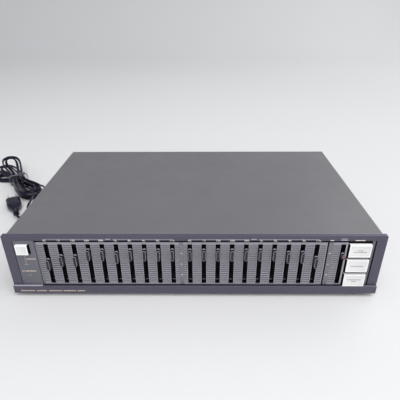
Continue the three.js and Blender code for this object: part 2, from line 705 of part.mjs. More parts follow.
const buttonRight = BUTTON.left + BUTTON.width;
const buttonMiddleX = (BUTTON.left + buttonRight) / 2;
const channels = [0, 1, 2].map((row) => [buttonMiddleX, buttonTop(row) - BUTTON.height / 2]);
const functionSwitches = switchBody(BUTTON.left, buttonRight, 12, 68, channels);
piece("function_switches", functionSwitches, MATERIAL.black, front);
const powerX = POWER_BUTTON.left + powerWidth / 2;
const powerZ = POWER_BUTTON.bottom + powerHeight / 2;
const powerSwitch = switchBody(powerX - 8, powerX + 8, 50, 71, [[powerX, powerZ]]);
piece("power_switch", powerSwitch, MATERIAL.black, front);

piece("top_cover", topCover(), MATERIAL.casePaint, equalizer);
piece("chassis", chassis(), MATERIAL.steel, equalizer);
piece("rear_panel", rearPanel(), MATERIAL.casePaint, equalizer);
for (const [side, x] of [["left", -FOOT.x], ["right", FOOT.x]]) {
  piece(`front_${side}_foot`, foot(), MATERIAL.rubber, equalizer, [x, -FOOT.y, 0]);
  piece(`rear_${side}_foot`, foot(), MATERIAL.rubber, equalizer, [x, FOOT.y, 0]);
}

// Two screws hold each side of the cover to the chassis, and two hold its lip to the rear panel.
for (const [side, sign] of [["left", -1], ["right", 1]]) {
  for (const place of ["front", "rear"]) {
    const mesh = piece(`${place}_${side}_cover_screw`, screw(), MATERIAL.steel, equalizer,
      [(sign * CASE.width) / 2, SIDE_SCREW[place], SIDE_SCREW.z]);
    mesh.rotation.z = sign > 0 ? 0 : Math.PI;
  }
}
for (const [side, x] of [["left", -LIP_SCREW.x], ["right", LIP_SCREW.x]]) {
  const place = [x, CASE_REAR, CASE.top - LIP_SCREW.drop];
  piece(`${side}_lip_screw`, screw(), MATERIAL.steel, equalizer, place).rotation.z = Math.PI / 2;
}

piece("main_board", mainBoard(), MATERIAL.board, equalizer);
piece("ribbon_cable", ribbonCable(), MATERIAL.silver, equalizer);
piece("power_transformer", transformer(), MATERIAL.iron, equalizer, [TRANSFORMER.x, TRANSFORMER.y, 0]);
piece("regulator_heatsink", heatsink(), MATERIAL.steel, equalizer,
  [HEATSINK.x, HEATSINK.y, MAIN_BOARD_TOP + GAP]);
piece("line_jacks", jackBlock(JACK_BLOCK_X.line), MATERIAL.black, equalizer);
piece("tape_jacks", jackBlock(JACK_BLOCK_X.tape), MATERIAL.black, equalizer);

piece("cord_bushing", bushing(), MATERIAL.black, equalizer);
const hank = new THREE.Group();
hank.position.set(HANK.x, HANK.y, 0);
hank.rotation.z = HANK.lean;
equalizer.add(hank);
piece("power_cord", powerCord(), MATERIAL.rubber, hank);
piece("cord_tie", cordTie(), MATERIAL.black, hank);
piece("power_plug", powerPlug(), MATERIAL.rubber, hank);

const extent = new THREE.Box3().setFromObject(equalizer, true);
const footprint = extent.getCenter(new THREE.Vector3());
equalizer.position.set(-footprint.x, -footprint.y, -extent.min.z);

export default equalizer;
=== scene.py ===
"""The looks of the graphic equalizer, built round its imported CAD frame.

Metres, +Z up, the front panel towards -Y.
"""

import math
import random

import bmesh
import bpy
from mathutils import Matrix, Vector


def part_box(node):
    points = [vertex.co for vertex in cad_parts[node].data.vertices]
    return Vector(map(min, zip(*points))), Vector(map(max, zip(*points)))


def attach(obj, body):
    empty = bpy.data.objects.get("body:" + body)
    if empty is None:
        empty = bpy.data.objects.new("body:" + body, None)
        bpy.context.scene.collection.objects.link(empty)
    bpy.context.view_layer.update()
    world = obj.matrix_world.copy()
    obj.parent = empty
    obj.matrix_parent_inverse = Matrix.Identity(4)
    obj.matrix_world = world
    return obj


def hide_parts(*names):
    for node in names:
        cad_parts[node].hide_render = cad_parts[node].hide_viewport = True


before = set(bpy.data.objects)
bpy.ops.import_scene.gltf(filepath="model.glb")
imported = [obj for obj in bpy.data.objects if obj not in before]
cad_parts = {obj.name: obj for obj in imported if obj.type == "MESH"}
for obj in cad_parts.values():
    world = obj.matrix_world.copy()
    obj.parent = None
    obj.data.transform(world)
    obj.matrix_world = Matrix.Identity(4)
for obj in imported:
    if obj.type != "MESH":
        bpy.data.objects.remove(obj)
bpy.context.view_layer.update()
RNG = random.Random(7)
MM = 0.001

# ---- places, from the frame

BANDS = [f"{side}_band_{n:02d}" for side in ("left", "right") for n in range(1, 11)]
PANEL_LO, PANEL_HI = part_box("front_panel")
FACE_Y = PANEL_LO.y
FLOOR_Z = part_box("front_left_foot")[0].z
GRILLE_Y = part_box("slider_grille")[0].y
CASE_LO, CASE_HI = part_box("top_cover")
MIDDLE = Vector(((CASE_LO.x + CASE_HI.x) / 2, (CASE_LO.y + CASE_HI.y) / 2, FLOOR_Z + 5 * MM))
POT_LO, POT_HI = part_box("left_slider_pots")
SLOT_MID_Z = (POT_LO.z + POT_HI.z) / 2
SLOT_HALF_WIDTH = 2.7 * MM
SLOT_HALF_LENGTH = 27.2 * MM
TINY = 1e-9


def spot(x, y, z):
    """A place given in millimetres from the middle of the chassis' underside."""
    return MIDDLE + Vector((x, y, z)) * MM


def middle(node):
    lo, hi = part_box(node)
    return (lo + hi) / 2


BAND_X = [middle(f"{band}_knob").x for band in BANDS]
GAP_X = (BAND_X[9] + BAND_X[10]) / 2  # between the left bands and the right ones
LEVEL_X = middle("level_knob").x
SCALE_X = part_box("level_grille")[0].x + 2.4 * MM  # the middle of the level slider's plain strip

# ---- materials

NOISE_RANGE = (0.3, 0.7)  # where nearly all of a noise's values lie


class Shader:
    """A material whose nodes are added one at a time, in object coordinates."""

    def __init__(self, name, color, roughness, metallic=0.0):
        self.material = bpy.data.materials.new(name)
        self.material.use_nodes = True
        self.tree = self.material.node_tree
        self.tree.nodes.clear()
        output = self.tree.nodes.new("ShaderNodeOutputMaterial")
        self.bsdf = self.tree.nodes.new("ShaderNodeBsdfPrincipled")
        self.link(self.bsdf.outputs["BSDF"], output.inputs["Surface"])
        self.bsdf.inputs["Base Color"].default_value = (*color, 1)
        self.bsdf.inputs["Roughness"].default_value = roughness
        self.bsdf.inputs["Metallic"].default_value = metallic
        self.color = color
        self.roughness = roughness
        self.coords = self.tree.nodes.new("ShaderNodeTexCoord").outputs["Object"]
        self.normal = None

    def link(self, a, b):
        self.tree.links.new(a, b)

    def node(self, kind, inputs=None, **settings):
        node = self.tree.nodes.new(kind)
        for key, value in settings.items():
            setattr(node, key, value)
        for key, value in (inputs or {}).items():
            if hasattr(value, "is_linked"):
                self.link(value, node.inputs[key])
            else:
                node.inputs[key].default_value = value
        return node

    def noise(self, size, detail=3.0, stretch=(1, 1, 1), roughness=0.5):
        """Noise with features about `size` metres across, longer along an axis with a smaller stretch."""
        mapping = self.node("ShaderNodeMapping", {"Vector": self.coords, "Scale": stretch})
        inputs = {
            "Vector": mapping.outputs[0],
            "Scale": 1 / size,
            "Detail": detail,
            "Roughness": roughness,
        }
        return self.node("ShaderNodeTexNoise", inputs).outputs["Fac"]

    def remap(self, value, low, high):
        start, end = NOISE_RANGE
        inputs = {"Value": value, "From Min": start, "From Max": end, "To Min": low, "To Max": high}
        return self.node("ShaderNodeMapRange", inputs).outputs[0]

    def vary_color(self, mask, amount):
        """The colour is scaled by 1 - amount to 1 + amount with the mask."""
        scale = self.remap(mask, 1 - amount, 1 + amount)
        inputs = {"Value": scale, "Color": (*self.color, 1)}
        hsv = self.node("ShaderNodeHueSaturation", inputs)
        self.link(hsv.outputs[0], self.bsdf.inputs["Base Color"])
        return self

    def vary_roughness(self, mask, amount):
        value = self.remap(mask, self.roughness - amount, self.roughness + amount)
        self.link(value, self.bsdf.inputs["Roughness"])
        return self

    def bump(self, height, distance, strength=1.0):
        inputs = {"Height": height, "Distance": distance, "Strength": strength}
        if self.normal:
            inputs["Normal"] = self.normal
        self.normal = self.node("ShaderNodeBump", inputs).outputs[0]
        self.link(self.normal, self.bsdf.inputs["Normal"])
        return self

    def set(self, **inputs):
        for key, value in inputs.items():
            self.bsdf.inputs[key.replace("_", " ")].default_value = value
        return self


def paint(name, color, roughness, grain=0.35 * MM, depth=0.008 * MM, blotch=0.03):
    """Sprayed paint: fine orange peel, faint blotches, and smudges that change the sheen."""
    s = Shader(name, color, roughness)
    s.vary_color(s.noise(90 * MM, 4), blotch)
    s.vary_roughness(s.noise(30 * MM, 5, roughness=0.65), 0.05)
    s.bump(s.noise(grain, 2), depth, 0.6)
    s.bump(s.noise(grain * 6, 2), depth * 1.5, 0.3)
    return s.material


def plastic(name, color, roughness, grain=0.25 * MM, depth=0.01 * MM, blotch=0.06, sheen=0.5):
    """Moulded plastic. A smaller `sheen` reflects less of the room."""
    s = Shader(name, color, roughness).set(Specular_IOR_Level=sheen)
    s.vary_color(s.noise(12 * MM, 4), blotch)
    s.vary_roughness(s.noise(5 * MM, 4), 0.06)
    s.bump(s.noise(grain, 2), depth, 0.5)
    return s.material


def metal(name, color, roughness, stretch=(1, 1, 1), size=0.4 * MM):
    """Plated or drawn metal, with fine marks along one axis and dull patches."""
    s = Shader(name, color, roughness, metallic=1.0)
    s.vary_color(s.noise(8 * MM, 5), 0.08)
    s.vary_roughness(s.noise(6 * MM, 5, roughness=0.7), 0.1)
    s.bump(s.noise(size, 4, stretch), 0.01 * MM, 0.5)
    return s.material


def board_material():
    """Tan board with a faint pattern of copper tracks under it."""
    s = Shader("phenolic_board", (0.27, 0.15, 0.06), 0.55)
    s.vary_color(s.noise(6 * MM, 6, roughness=0.8), 0.35)
    s.vary_roughness(s.noise(3 * MM), 0.1)
    s.bump(s.noise(0.6 * MM, 3), 0.02 * MM, 0.6)
    return s.material


def laminated_iron():
    """A stack of varnished laminations, seen as fine lines across the core."""
    s = Shader("varnished_laminations", (0.06, 0.055, 0.05), 0.45, metallic=0.4)
    wave = s.node("ShaderNodeTexWave", {"Vector": s.coords, "Scale": 320.0}, bands_direction="Y")
    s.vary_color(s.noise(7 * MM, 5), 0.3)
    s.bump(wave.outputs["Fac"], 0.1 * MM, 0.8)
    return s.material


MATERIAL = {
    "panel": paint("violet_grey_paint", (0.067, 0.060, 0.094), 0.42),
    "plate": paint("grey_plate_paint", (0.125, 0.125, 0.150), 0.45),
    "bezel": paint("button_bezel_paint", (0.118, 0.115, 0.130), 0.45),
    "grille": paint("ribbed_grille_paint", (0.285, 0.275, 0.312), 0.4, 0.3 * MM, blotch=0.04),
    # groove floors darker than the rib tops: painted shade in the grooves
    "groove": paint("painted_groove_shade", (0.070, 0.067, 0.084), 0.55, 0.3 * MM, blotch=0.06),
    "strip": paint("smooth_strip_paint", (0.165, 0.160, 0.185), 0.42, 0.3 * MM, blotch=0.04),
    # pale paint for painted highlights along edges
    "edge": paint("painted_edge_highlight", (0.40, 0.39, 0.44), 0.35, 0.3 * MM),
    "case": paint("grey_case_paint", (0.135, 0.135, 0.145), 0.46, 0.55 * MM, 0.03 * MM, 0.04),
    # paler case paint: a painted highlight along the cover's front edge
    "hem_highlight": paint("painted_case_edge_highlight", (0.20, 0.20, 0.21), 0.36, 0.55 * MM, 0.02 * MM, 0.04),
    "button": plastic("silver_white_plastic", (0.92, 0.92, 0.92), 0.32, blotch=0.01),
    "button_face": plastic("silver_face_plastic", (0.78, 0.78, 0.775), 0.38, blotch=0.02),
    "knob": plastic("black_knob_plastic", (0.010, 0.010, 0.014), 0.22),
    "cap": plastic("grey_cap_plastic", (0.25, 0.24, 0.31), 0.36),
    # cap hollows painted darker than the rim: painted shade
    "recess": plastic("painted_cap_recess_shade", (0.055, 0.053, 0.075), 0.5),
    "red": plastic("red_index_plastic", (0.42, 0.10, 0.11), 0.4),
    "black": plastic("black_moulding", (0.011, 0.011, 0.012), 0.45, 0.4 * MM, 0.02 * MM),
    # near-black painted shade for slot walls, plate backs and flanges, button flanks, the button bezel, the
    # potentiometers and the seam under the rear lip
    "slot": plastic("black_painted_slot_shade", (0.004, 0.004, 0.006), 0.7, 0.4 * MM, 0.02 * MM, sheen=0.15),
    "vinyl": plastic("black_vinyl", (0.006, 0.005, 0.020), 0.22, 1.2 * MM, 0.05 * MM, 0.2, sheen=0.3),
    "tie": plastic("grey_tie_plastic", (0.10, 0.098, 0.13), 0.4, 0.8 * MM, 0.03 * MM, 0.15),
    "rubber": plastic("black_rubber", (0.02, 0.02, 0.02), 0.75, 0.5 * MM, 0.04 * MM, 0.15),
    "zinc": metal("zinc_plating", (0.62, 0.61, 0.58), 0.38, size=1.2 * MM),
    # steel darkened as painted shade, for the frames deep in the slots
    "shaded_steel": metal("potentiometer_steel_painted_shade", (0.16, 0.16, 0.21), 0.45),
    "nickel": metal("nickel_plating", (0.72, 0.70, 0.66), 0.25),
    "brass": metal("plug_brass", (0.72, 0.63, 0.40), 0.3, (0.2, 0.2, 1)),
    "aluminium": metal("extruded_aluminium", (0.75, 0.75, 0.76), 0.35, (1, 1, 0.08)),
    "iron": laminated_iron(),
    "board": board_material(),
    "ribbon": plastic("grey_ribbon_vinyl", (0.45, 0.45, 0.46), 0.4),
    "gold_ink": plastic("tan_ink", (0.62, 0.50, 0.42), 0.5),
    "pale_ink": plastic("pale_ink", (0.40, 0.38, 0.42), 0.5),
    "cream_ink": plastic("cream_ink", (0.66, 0.63, 0.58), 0.5),
    "grey_ink": plastic("grey_ink", (0.30, 0.30, 0.30), 0.6),
    "white_insert": plastic("white_jack_insert", (0.75, 0.74, 0.70), 0.35),
    "red_insert": plastic("red_jack_insert", (0.50, 0.03, 0.025), 0.35),
}

# ---- mesh helpers


def piece(name, bm, materials, body="case", stands_for=(), smooth_angle=35):
    """A finished piece that rides on a body. Its faces' material_index counts along `materials`."""
    bmesh.ops.remove_doubles(bm, verts=bm.verts, dist=1e-6)
    bmesh.ops.recalc_face_normals(bm, faces=bm.faces)
    mesh = bpy.data.meshes.new(name)
    bm.to_mesh(mesh)
    bm.free()
    obj = bpy.data.objects.new(name, mesh)
    bpy.context.scene.collection.objects.link(obj)
    for key in materials:
        mesh.materials.append(MATERIAL[key])
    mesh.shade_smooth()
    mesh.set_sharp_from_angle(angle=math.radians(smooth_angle))
    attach(obj, body)
    if stands_for:
        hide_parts(*stands_for)
    return obj


def bevel(obj, width, segments=2):
    """Rounded edges, by modifiers only, so that a CAD node's own mesh stays as it is."""
    weld = obj.modifiers.new("weld", "WELD")
    weld.merge_threshold = 2e-6
    planar = obj.modifiers.new("planar", "DECIMATE")
    planar.decimate_type = "DISSOLVE"
    planar.angle_limit = math.radians(0.5)
    rounding = obj.modifiers.new("bevel", "BEVEL")
    rounding.width = width
    rounding.segments = segments
    rounding.limit_method = "ANGLE"
    rounding.angle_limit = math.radians(35)
    rounding.harden_normals = True


def dress(node, key, width=0.0, segments=2):
    """A CAD node that keeps its shape: a material, smooth shading and rounded edges."""
    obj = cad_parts[node]
    obj.data.materials.clear()
    obj.data.materials.append(MATERIAL[key])
    obj.data.shade_smooth()
    if width:
        bevel(obj, width, segments)


def add_box(bm, lo, hi, radius=0.0, index=0):
    """A box between two corners, with its edges rounded."""
    lo, hi = Vector(lo), Vector(hi)
    matrix = Matrix.Translation((lo + hi) / 2) @ Matrix.Diagonal((*(hi - lo), 1))
    made = bmesh.ops.create_cube(bm, size=1, matrix=matrix)
    edges = {e for v in made["verts"] for e in v.link_edges}
    faces = {f for v in made["verts"] for f in v.link_faces}
    for face in faces:
        face.material_index = index
    if radius:
        bmesh.ops.bevel(
            bm, geom=list(edges), offset=radius, segments=2, profile=0.5, affect="EDGES",
            clamp_overlap=True, material=index,
        )


def loft(bm, rings, index=0, cap_start=True, cap_end=True, indices=None):
    """Skins a list of rings of points, each with the same number of points."""
    loops = [[bm.verts.new(p) for p in ring] for ring in rings]
    count = len(loops[0])
    for k in range(len(loops) - 1):
        for i in range(count):
            j = (i + 1) % count
            face = bm.faces.new((loops[k][i], loops[k][j], loops[k + 1][j], loops[k + 1][i]))
            face.material_index = indices[k] if indices else index
    for wanted, loop in ((cap_start, loops[0]), (cap_end, loops[-1])):
        if wanted:
            face = bm.faces.new(loop)
            face.material_index = indices[-1] if indices and loop is loops[-1] else index
    return loops


def turned(bm, profile, centre, axis="z", segments=32):
    """A closed round piece from (radius, height) pairs, turned about an axis through `centre`."""
    rings = []
    for radius, height in profile:
        ring = []
        for i in range(segments):
            a = 2 * math.pi * i / segments
            u, v = radius * math.cos(a), radius * math.sin(a)
            offset = {"z": (u, v, height), "y": (u, height, v), "x": (height, u, v)}[axis]
            ring.append(Vector(centre) + Vector(offset))
        rings.append(ring)
    loft(bm, rings)


def stadium(width, height, y, x, z):
    """A ring of points round an upright lozenge in the plane at `y`."""
    r, arc = width / 2, 10
    points = []
    for end, start in ((1, 0), (-1, math.pi)):
        for i in range(arc + 1):
            a = start + math.pi * i / arc
            points.append(Vector((x + r * math.cos(a), y, z + end * (height / 2 - r) + r * math.sin(a))))
    return points


def sweep(bm, path, profile, twist=None):
    """Carries a closed profile of (side, up) pairs along a path, without letting it turn by itself."""
    rings = []
    up = Vector((0, 0, 1))
    for k, point in enumerate(path):
        ahead = path[min(k + 1, len(path) - 1)]
        behind = path[max(k - 1, 0)]
        tangent = (ahead - behind).normalized()
        up = (up - tangent * up.dot(tangent)).normalized()
        side = tangent.cross(up)
        angle = twist(k) if twist else 0.0
        c, s = math.cos(angle), math.sin(angle)
        ring = [point + side * (a * c - b * s) + up * (a * s + b * c) for a, b in profile]
        rings.append(ring)
    loft(bm, rings)


def smooth_path(points, step):
    """Points about `step` apart along a centripetal Catmull-Rom curve through the given points."""
    pts = [Vector(p) for p in points]
    pts = [2 * pts[0] - pts[1]] + pts + [2 * pts[-1] - pts[-2]]
    out = []
    for p0, p1, p2, p3 in zip(pts, pts[1:], pts[2:], pts[3:]):
        t1 = (p1 - p0).length ** 0.5
        t2 = t1 + (p2 - p1).length ** 0.5
        t3 = t2 + (p3 - p2).length ** 0.5
        count = max(1, round((p2 - p1).length / step))
        for i in range(count):
            t = t1 + (t2 - t1) * i / count
            a1 = p0 * ((t1 - t) / t1) + p1 * (t / t1)
            a2 = p1 * ((t2 - t) / (t2 - t1)) + p2 * ((t - t1) / (t2 - t1))
            a3 = p2 * ((t3 - t) / (t3 - t2)) + p3 * ((t - t2) / (t3 - t2))
            b1 = a1 * ((t2 - t) / t2) + a2 * (t / t2)
            b2 = a2 * ((t3 - t) / (t3 - t1)) + a3 * ((t - t1) / (t3 - t1))
            out.append(b1 * ((t2 - t) / (t2 - t1)) + b2 * ((t - t1) / (t2 - t1)))
    out.append(pts[-2])
    return out


# ---- ribbed plates

RIB_PITCH = 2.75 * MM
RIB_SLOPE = 0.3 * MM
RIB_FLOOR = 1.15 * MM
RIB_DEPTH = 0.7 * MM
RIB_MARGIN = 0.7 * MM
STRIP_HALF = 2.4 * MM
WALL = 0.02 * MM


def rib_levels(z0, z1):
    """(height, depth) pairs up a ribbed face: grooves between flat-topped ribs."""
    levels = [(z0, 0.0)]
    count = int((z1 - z0) / RIB_PITCH)
    start = z0 + ((z1 - z0) - count * RIB_PITCH) / 2
    for n in range(count):
        centre = start + (n + 0.5) * RIB_PITCH
        outer = RIB_FLOOR / 2 + RIB_SLOPE
        levels += [
            (centre - outer, 0.0),
            (centre - RIB_FLOOR / 2, RIB_DEPTH),
            (centre + RIB_FLOOR / 2, RIB_DEPTH),
            (centre + outer, 0.0),
        ]
    levels.append((z1, 0.0))
    return levels


def plate_columns(lo, hi, holes, smooth):
    """The x of each upright line of a plate: the holes' sides, and a step beside each smooth strip."""
    cuts = {lo.x, hi.x}
    for a, b in holes:
        cuts |= {a, b}
    for a, b in smooth:
        cuts |= {a, b, a - WALL, b + WALL}
    return sorted(x for x in cuts if lo.x - TINY <= x <= hi.x + TINY)


PLATE_MATERIALS = ["grille", "groove", "slot", "edge", "strip"]
GROOVE_SHADE, SHADE_DARK, EDGE_HIGHLIGHT, STRIP = range(1, 5)


def plate_grid(bm, xs, levels, faces_y, slot_z, holes, strips, smooth):
    """A closed plate on a grid of columns and (height, depth) levels, ribbed in front, open at its slots."""
    front, back = faces_y

    def ribbed(x):
        return not any(a - TINY <= x <= b + TINY for a, b in smooth)

    def in_hole(x, z):
        across = any(a < x < b for a, b in holes)
        return across and slot_z[0] < z < slot_z[1]

    top = {}
    bottom = {}
    for i, x in enumerate(xs):
        for k, (z, depth) in enumerate(levels):
            top[i, k] = bm.verts.new((x, front + (depth if ribbed(x) else 0.0), z))
            bottom[i, k] = bm.verts.new((x, back, z))
    solid = {}
    for i in range(len(xs) - 1):
        for k in range(len(levels) - 1):
            x = (xs[i] + xs[i + 1]) / 2
            z = (levels[k][0] + levels[k + 1][0]) / 2
            solid[i, k] = not in_hole(x, z)
    for (i, k), filled in solid.items():
        if not filled:
            continue
        quad = [(i, k), (i + 1, k), (i + 1, k + 1), (i, k + 1)]
        face = bm.faces.new([top[q] for q in quad])
        across = (xs[i] + xs[i + 1]) / 2
        if any(a < across < b for a, b in strips):
            face.material_index = STRIP
        elif levels[k][1] > 0 and levels[k + 1][1] > 0 and ribbed(across):
            # painted shade: the groove floors take the darker paint
            face.material_index = GROOVE_SHADE
        bm.faces.new([bottom[q] for q in reversed(quad)]).material_index = SHADE_DARK
        sides = {(i, k - 1): (0, 1), (i + 1, k): (1, 2), (i, k + 1): (2, 3), (i - 1, k): (3, 0)}
        for neighbour, (a, b) in sides.items():
            # slot walls take the near-black painted shade
            if not solid.get(neighbour):
                wall = bm.faces.new([top[quad[a]], bottom[quad[a]], bottom[quad[b]], top[quad[b]]])
                wall.material_index = SHADE_DARK


def ribbed_plate(name, node, slots, plain, ends, edge_highlight=False):
    """An insert plate with ribs, open at its slots, and smooth beside them and on its plain strips.

    `slots` are slot centres, `plain` is a strip's middle, and `ends` are the smooth widths at its two ends.
    """
    lo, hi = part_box(node)
    face_z0, face_z1 = lo.z + 4.5 * MM, hi.z - 4.8 * MM
    holes = [(x - SLOT_HALF_WIDTH, x + SLOT_HALF_WIDTH) for x in slots]
    strips = [(plain - STRIP_HALF, plain + STRIP_HALF), (lo.x, lo.x + ends[0])]
    smooth = [(a - RIB_MARGIN, b + RIB_MARGIN) for a, b in holes] + strips + [(hi.x - ends[1], hi.x)]
    slot_z = (SLOT_MID_Z - SLOT_HALF_LENGTH, SLOT_MID_Z + SLOT_HALF_LENGTH)
    levels = [(face_z0, 0.0)] + rib_levels(slot_z[0], slot_z[1]) + [(face_z1, 0.0)]
    front, back = lo.y, hi.y
    bm = bmesh.new()
    xs = plate_columns(lo, hi, holes, smooth)
    plate_grid(bm, xs, levels, (front, back), slot_z, holes, strips, smooth)
    bmesh.ops.dissolve_limit(
        bm, angle_limit=math.radians(0.5), verts=bm.verts, edges=bm.edges, use_dissolve_boundaries=False,
        delimit={"MATERIAL"},
    )
    flange_y = front + 1.7 * MM
    # the flanges behind the window's edges take the near-black painted shade
    for z0, z1 in ((lo.z, face_z0), (face_z1, hi.z)):
        add_box(bm, (lo.x, flange_y, z0), (hi.x, back, z1), index=SHADE_DARK)
    # painted highlight: a pale line down the plate's right edge
    if edge_highlight:
        highlight_lo = (hi.x - 1.9 * MM, front - 0.15 * MM, face_z0 + 0.2 * MM)
        highlight_hi = (hi.x - 0.05 * MM, front + 0.3 * MM, face_z1 - 0.2 * MM)
        add_box(bm, highlight_lo, highlight_hi, 0.1 * MM, EDGE_HIGHLIGHT)
    piece(name, bm, PLATE_MATERIALS, stands_for=[node], smooth_angle=20)


def grilles():
    ribbed_plate("ribbed_slider_grille", "slider_grille", BAND_X, GAP_X, (2.5 * MM, 1.2 * MM))
    ribbed_plate(
        "ribbed_level_grille", "level_grille", [LEVEL_X], SCALE_X, (0.3 * MM, 2.0 * MM), edge_highlight=True,
    )


# ---- knobs and buttons


def knob_body(name):
    """A tapered black knob on a rounded collar, with a band of grey cap plastic on top of its crown as a
    painted highlight, and a blade that enters the slot.
    """
    node = f"{name}_knob"
    lo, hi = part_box(node)
    x, _, z = middle(node)
    width, _, height = hi - lo
    front = lo.y
    collar_front = FACE_Y - 0.7 * MM
    crown_highlight_front, crown_highlight_back = front + 3.3 * MM, front + 4.3 * MM
    sections = [  # where, and how far in from the sides and from the ends, in millimetres
        (FACE_Y + 0.6 * MM, 0, 0), (FACE_Y - 0.35 * MM, 0, 0), (collar_front + 0.1 * MM, 0.12, 0.12),
        (collar_front, 0.3, 0.35), (collar_front - 0.4 * MM, 0.32, 0.6), (crown_highlight_back, 0.26, 0.75),
        (crown_highlight_front, 0.24, 0.95), (front + 1.6 * MM, 0.22, 1.05), (front + 0.55 * MM, 0.24, 1.1),
        (front + 0.2 * MM, 0.36, 1.2), (front + 0.05 * MM, 0.55, 1.4),
    ]
    bm = bmesh.new()
    loft(bm, [stadium(width - 2 * dx * MM, height - 2 * dz * MM, y, x, z) for y, dx, dz in sections])
    # painted highlight: the top of the crown takes the grey cap plastic
    for face in bm.faces:
        centre = face.calc_center_median()
        if crown_highlight_front < centre.y < crown_highlight_back and centre.z > z + (height - width) / 2:
            face.material_index = 1
    blade_lo = Vector((x - 0.6 * MM, FACE_Y + 0.5 * MM, z - 2 * MM))
    blade_hi = Vector((x + 0.6 * MM, hi.y, z + 2 * MM))
    add_box(bm, blade_lo, blade_hi, 0.15 * MM)
    piece(f"{name}_body", bm, ["knob", "cap"], name, [node])


RIM, HOLLOW_SHADE, CROWN_HIGHLIGHT, INDEX = range(4)


def knob_cap(name, is_level):
    """The lozenge in a knob's face: four grips in a hollow painted dark as painted shade, or a red index under
    a grey crown painted as a highlight.
    """
    lo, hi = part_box(f"{name}_knob")
    x, _, z = (lo + hi) / 2
    front = lo.y
    width, height = hi.x - lo.x - 0.55 * MM, hi.z - lo.z - 2.2 * MM
    rim = 0.4 * MM
    sunk = front + 0.3 * MM
    steps = [
        (front + 0.5 * MM, 0.0),
        (front + 0.12 * MM, 0.0),
        (front, 0.1 * MM),
        (front, rim),
        (sunk, rim + 0.05 * MM),
    ]
    bm = bmesh.new()
    rings = [stadium(width - 2 * inset, height - 2 * inset, y, x, z) for y, inset in steps]
    # the sunk floor takes the dark recess paint as painted shade
    loft(bm, rings, indices=[RIM, RIM, RIM, RIM, HOLLOW_SHADE])
    if is_level:
        # painted highlight: the top of the level knob's rim takes the grey cap plastic
        crown = z + (height - width) / 2
        for face in bm.faces:
            if face.calc_center_median().z > crown:
                face.material_index = CROWN_HIGHLIGHT
        index_lo = (x - 1.15 * MM, front + 0.02 * MM, z - 1.0 * MM)
        index_hi = (x + 1.15 * MM, sunk + 0.1 * MM, z + 1.6 * MM)
        add_box(bm, index_lo, index_hi, 0.15 * MM, INDEX)
    else:
        half = width / 2 - rim - 0.05 * MM
        bottom = z - height / 2 + rim
        pitch = 0.195 * (height - 2 * rim)
        for n in range(4):
            low, high = bottom + n * pitch + 0.1 * MM, bottom + (n + 1) * pitch - 0.1 * MM
            add_box(bm, (x - half, front + 0.05 * MM, low), (x + half, sunk + 0.1 * MM, high), 0.1 * MM)
    rim_key = "knob" if is_level else "cap"
    piece(f"{name}_cap", bm, [rim_key, "recess", "cap", "red"], name)


def knobs():
    for name in [*BANDS, "level"]:
        knob_body(name)
        knob_cap(name, name == "level")


INK = 0.04 * MM


def marks(bm, runs, y):
    """Printed bars, each (x from, x to, z middle, height), standing a hair proud of the face at `y`."""
    for x0, x1, z, height in runs:
        add_box(bm, (x0, y - INK, z - height / 2), (x1, y + INK, z + height / 2))


def word(start, length, pitch, bar):
    """Short bars that stand for a word, as (from, to) pairs. All but `start` are in millimetres."""
    starts = [start + pitch * k * MM for k in range(round(length / pitch))]
    return [(x, x + bar * MM) for x in starts]


BORDER, FACE, FLANK_SHADE = range(3)
FACE_SINK = 0.09 * MM


def push_button(name):
    """A flat silver keycap with a bright border, side and under faces painted near-black as painted shade, and
    a square plunger behind.
    """
    node = f"{name}_button"
    lo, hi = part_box(node)
    back = FACE_Y + 8.5 * MM
    steps = [
        (back, 0.0), (lo.y + 0.25 * MM, 0.0), (lo.y + 0.07 * MM, 0.07 * MM), (lo.y, 0.25 * MM),
        (lo.y, 1.5 * MM), (lo.y + FACE_SINK, 1.7 * MM),
    ]
    corner = 0.25 * MM
    rings = []
    for y, inset in steps:
        x0, x1, z0, z1 = lo.x + inset, hi.x - inset, lo.z + inset, hi.z - inset
        ring = []
        for quarter, (cx, cz) in enumerate(((x1, z1), (x0, z1), (x0, z0), (x1, z0))):
            inward_x, inward_z = (-1 if cx == x1 else 1), (-1 if cz == z1 else 1)
            for i in range(4):
                a = math.pi / 2 * (quarter + i / 3)
                ring.append(Vector((
                    cx + corner * (inward_x + math.cos(a)), y, cz + corner * (inward_z + math.sin(a)),
                )))
        rings.append(ring)
    bm = bmesh.new()
    loft(bm, rings, indices=[BORDER, BORDER, BORDER, BORDER, FACE])
    bmesh.ops.recalc_face_normals(bm, faces=bm.faces)
    for face in bm.faces:
        # side and under faces take the near-black painted shade
        shaded_flank = abs(face.normal.x) > 0.8 or face.normal.z < -0.8
        if shaded_flank and face.calc_center_median().y > lo.y + 0.3 * MM:
            face.material_index = FLANK_SHADE
    x, _, z = middle(node)
    half = 2.5 * MM
    add_box(bm, (x - half, back - 0.1 * MM, z - half), (x + half, hi.y, z + half), 0.2 * MM)
    piece(f"{name}_keycap", bm, ["button", "button_face", "slot"], name, [node])


def button_labels():
    """Lines of short plain bars where each function button has its label."""
    rows = {"tape_monitor": (7, 14), "equalizer": (15.5,), "recording": (15.5, 5.5)}
    pitch, line_pitch = 1.1, 2.2 * MM
    for name, lines in rows.items():
        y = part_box(f"{name}_button")[0].y + FACE_SINK
        centre = middle(f"{name}_button")
        bm = bmesh.new()
        for n, length in enumerate(lines):
            z = centre.z + ((len(lines) - 1) / 2 - n) * line_pitch
            bars = word(centre.x - round(length / pitch) / 2 * pitch * MM, length, pitch, 0.75)
            marks(bm, [(a, b, z, RNG.uniform(1.0, 1.5) * MM) for a, b in bars], y)
        piece(f"{name}_label", bm, ["grey_ink"], name)


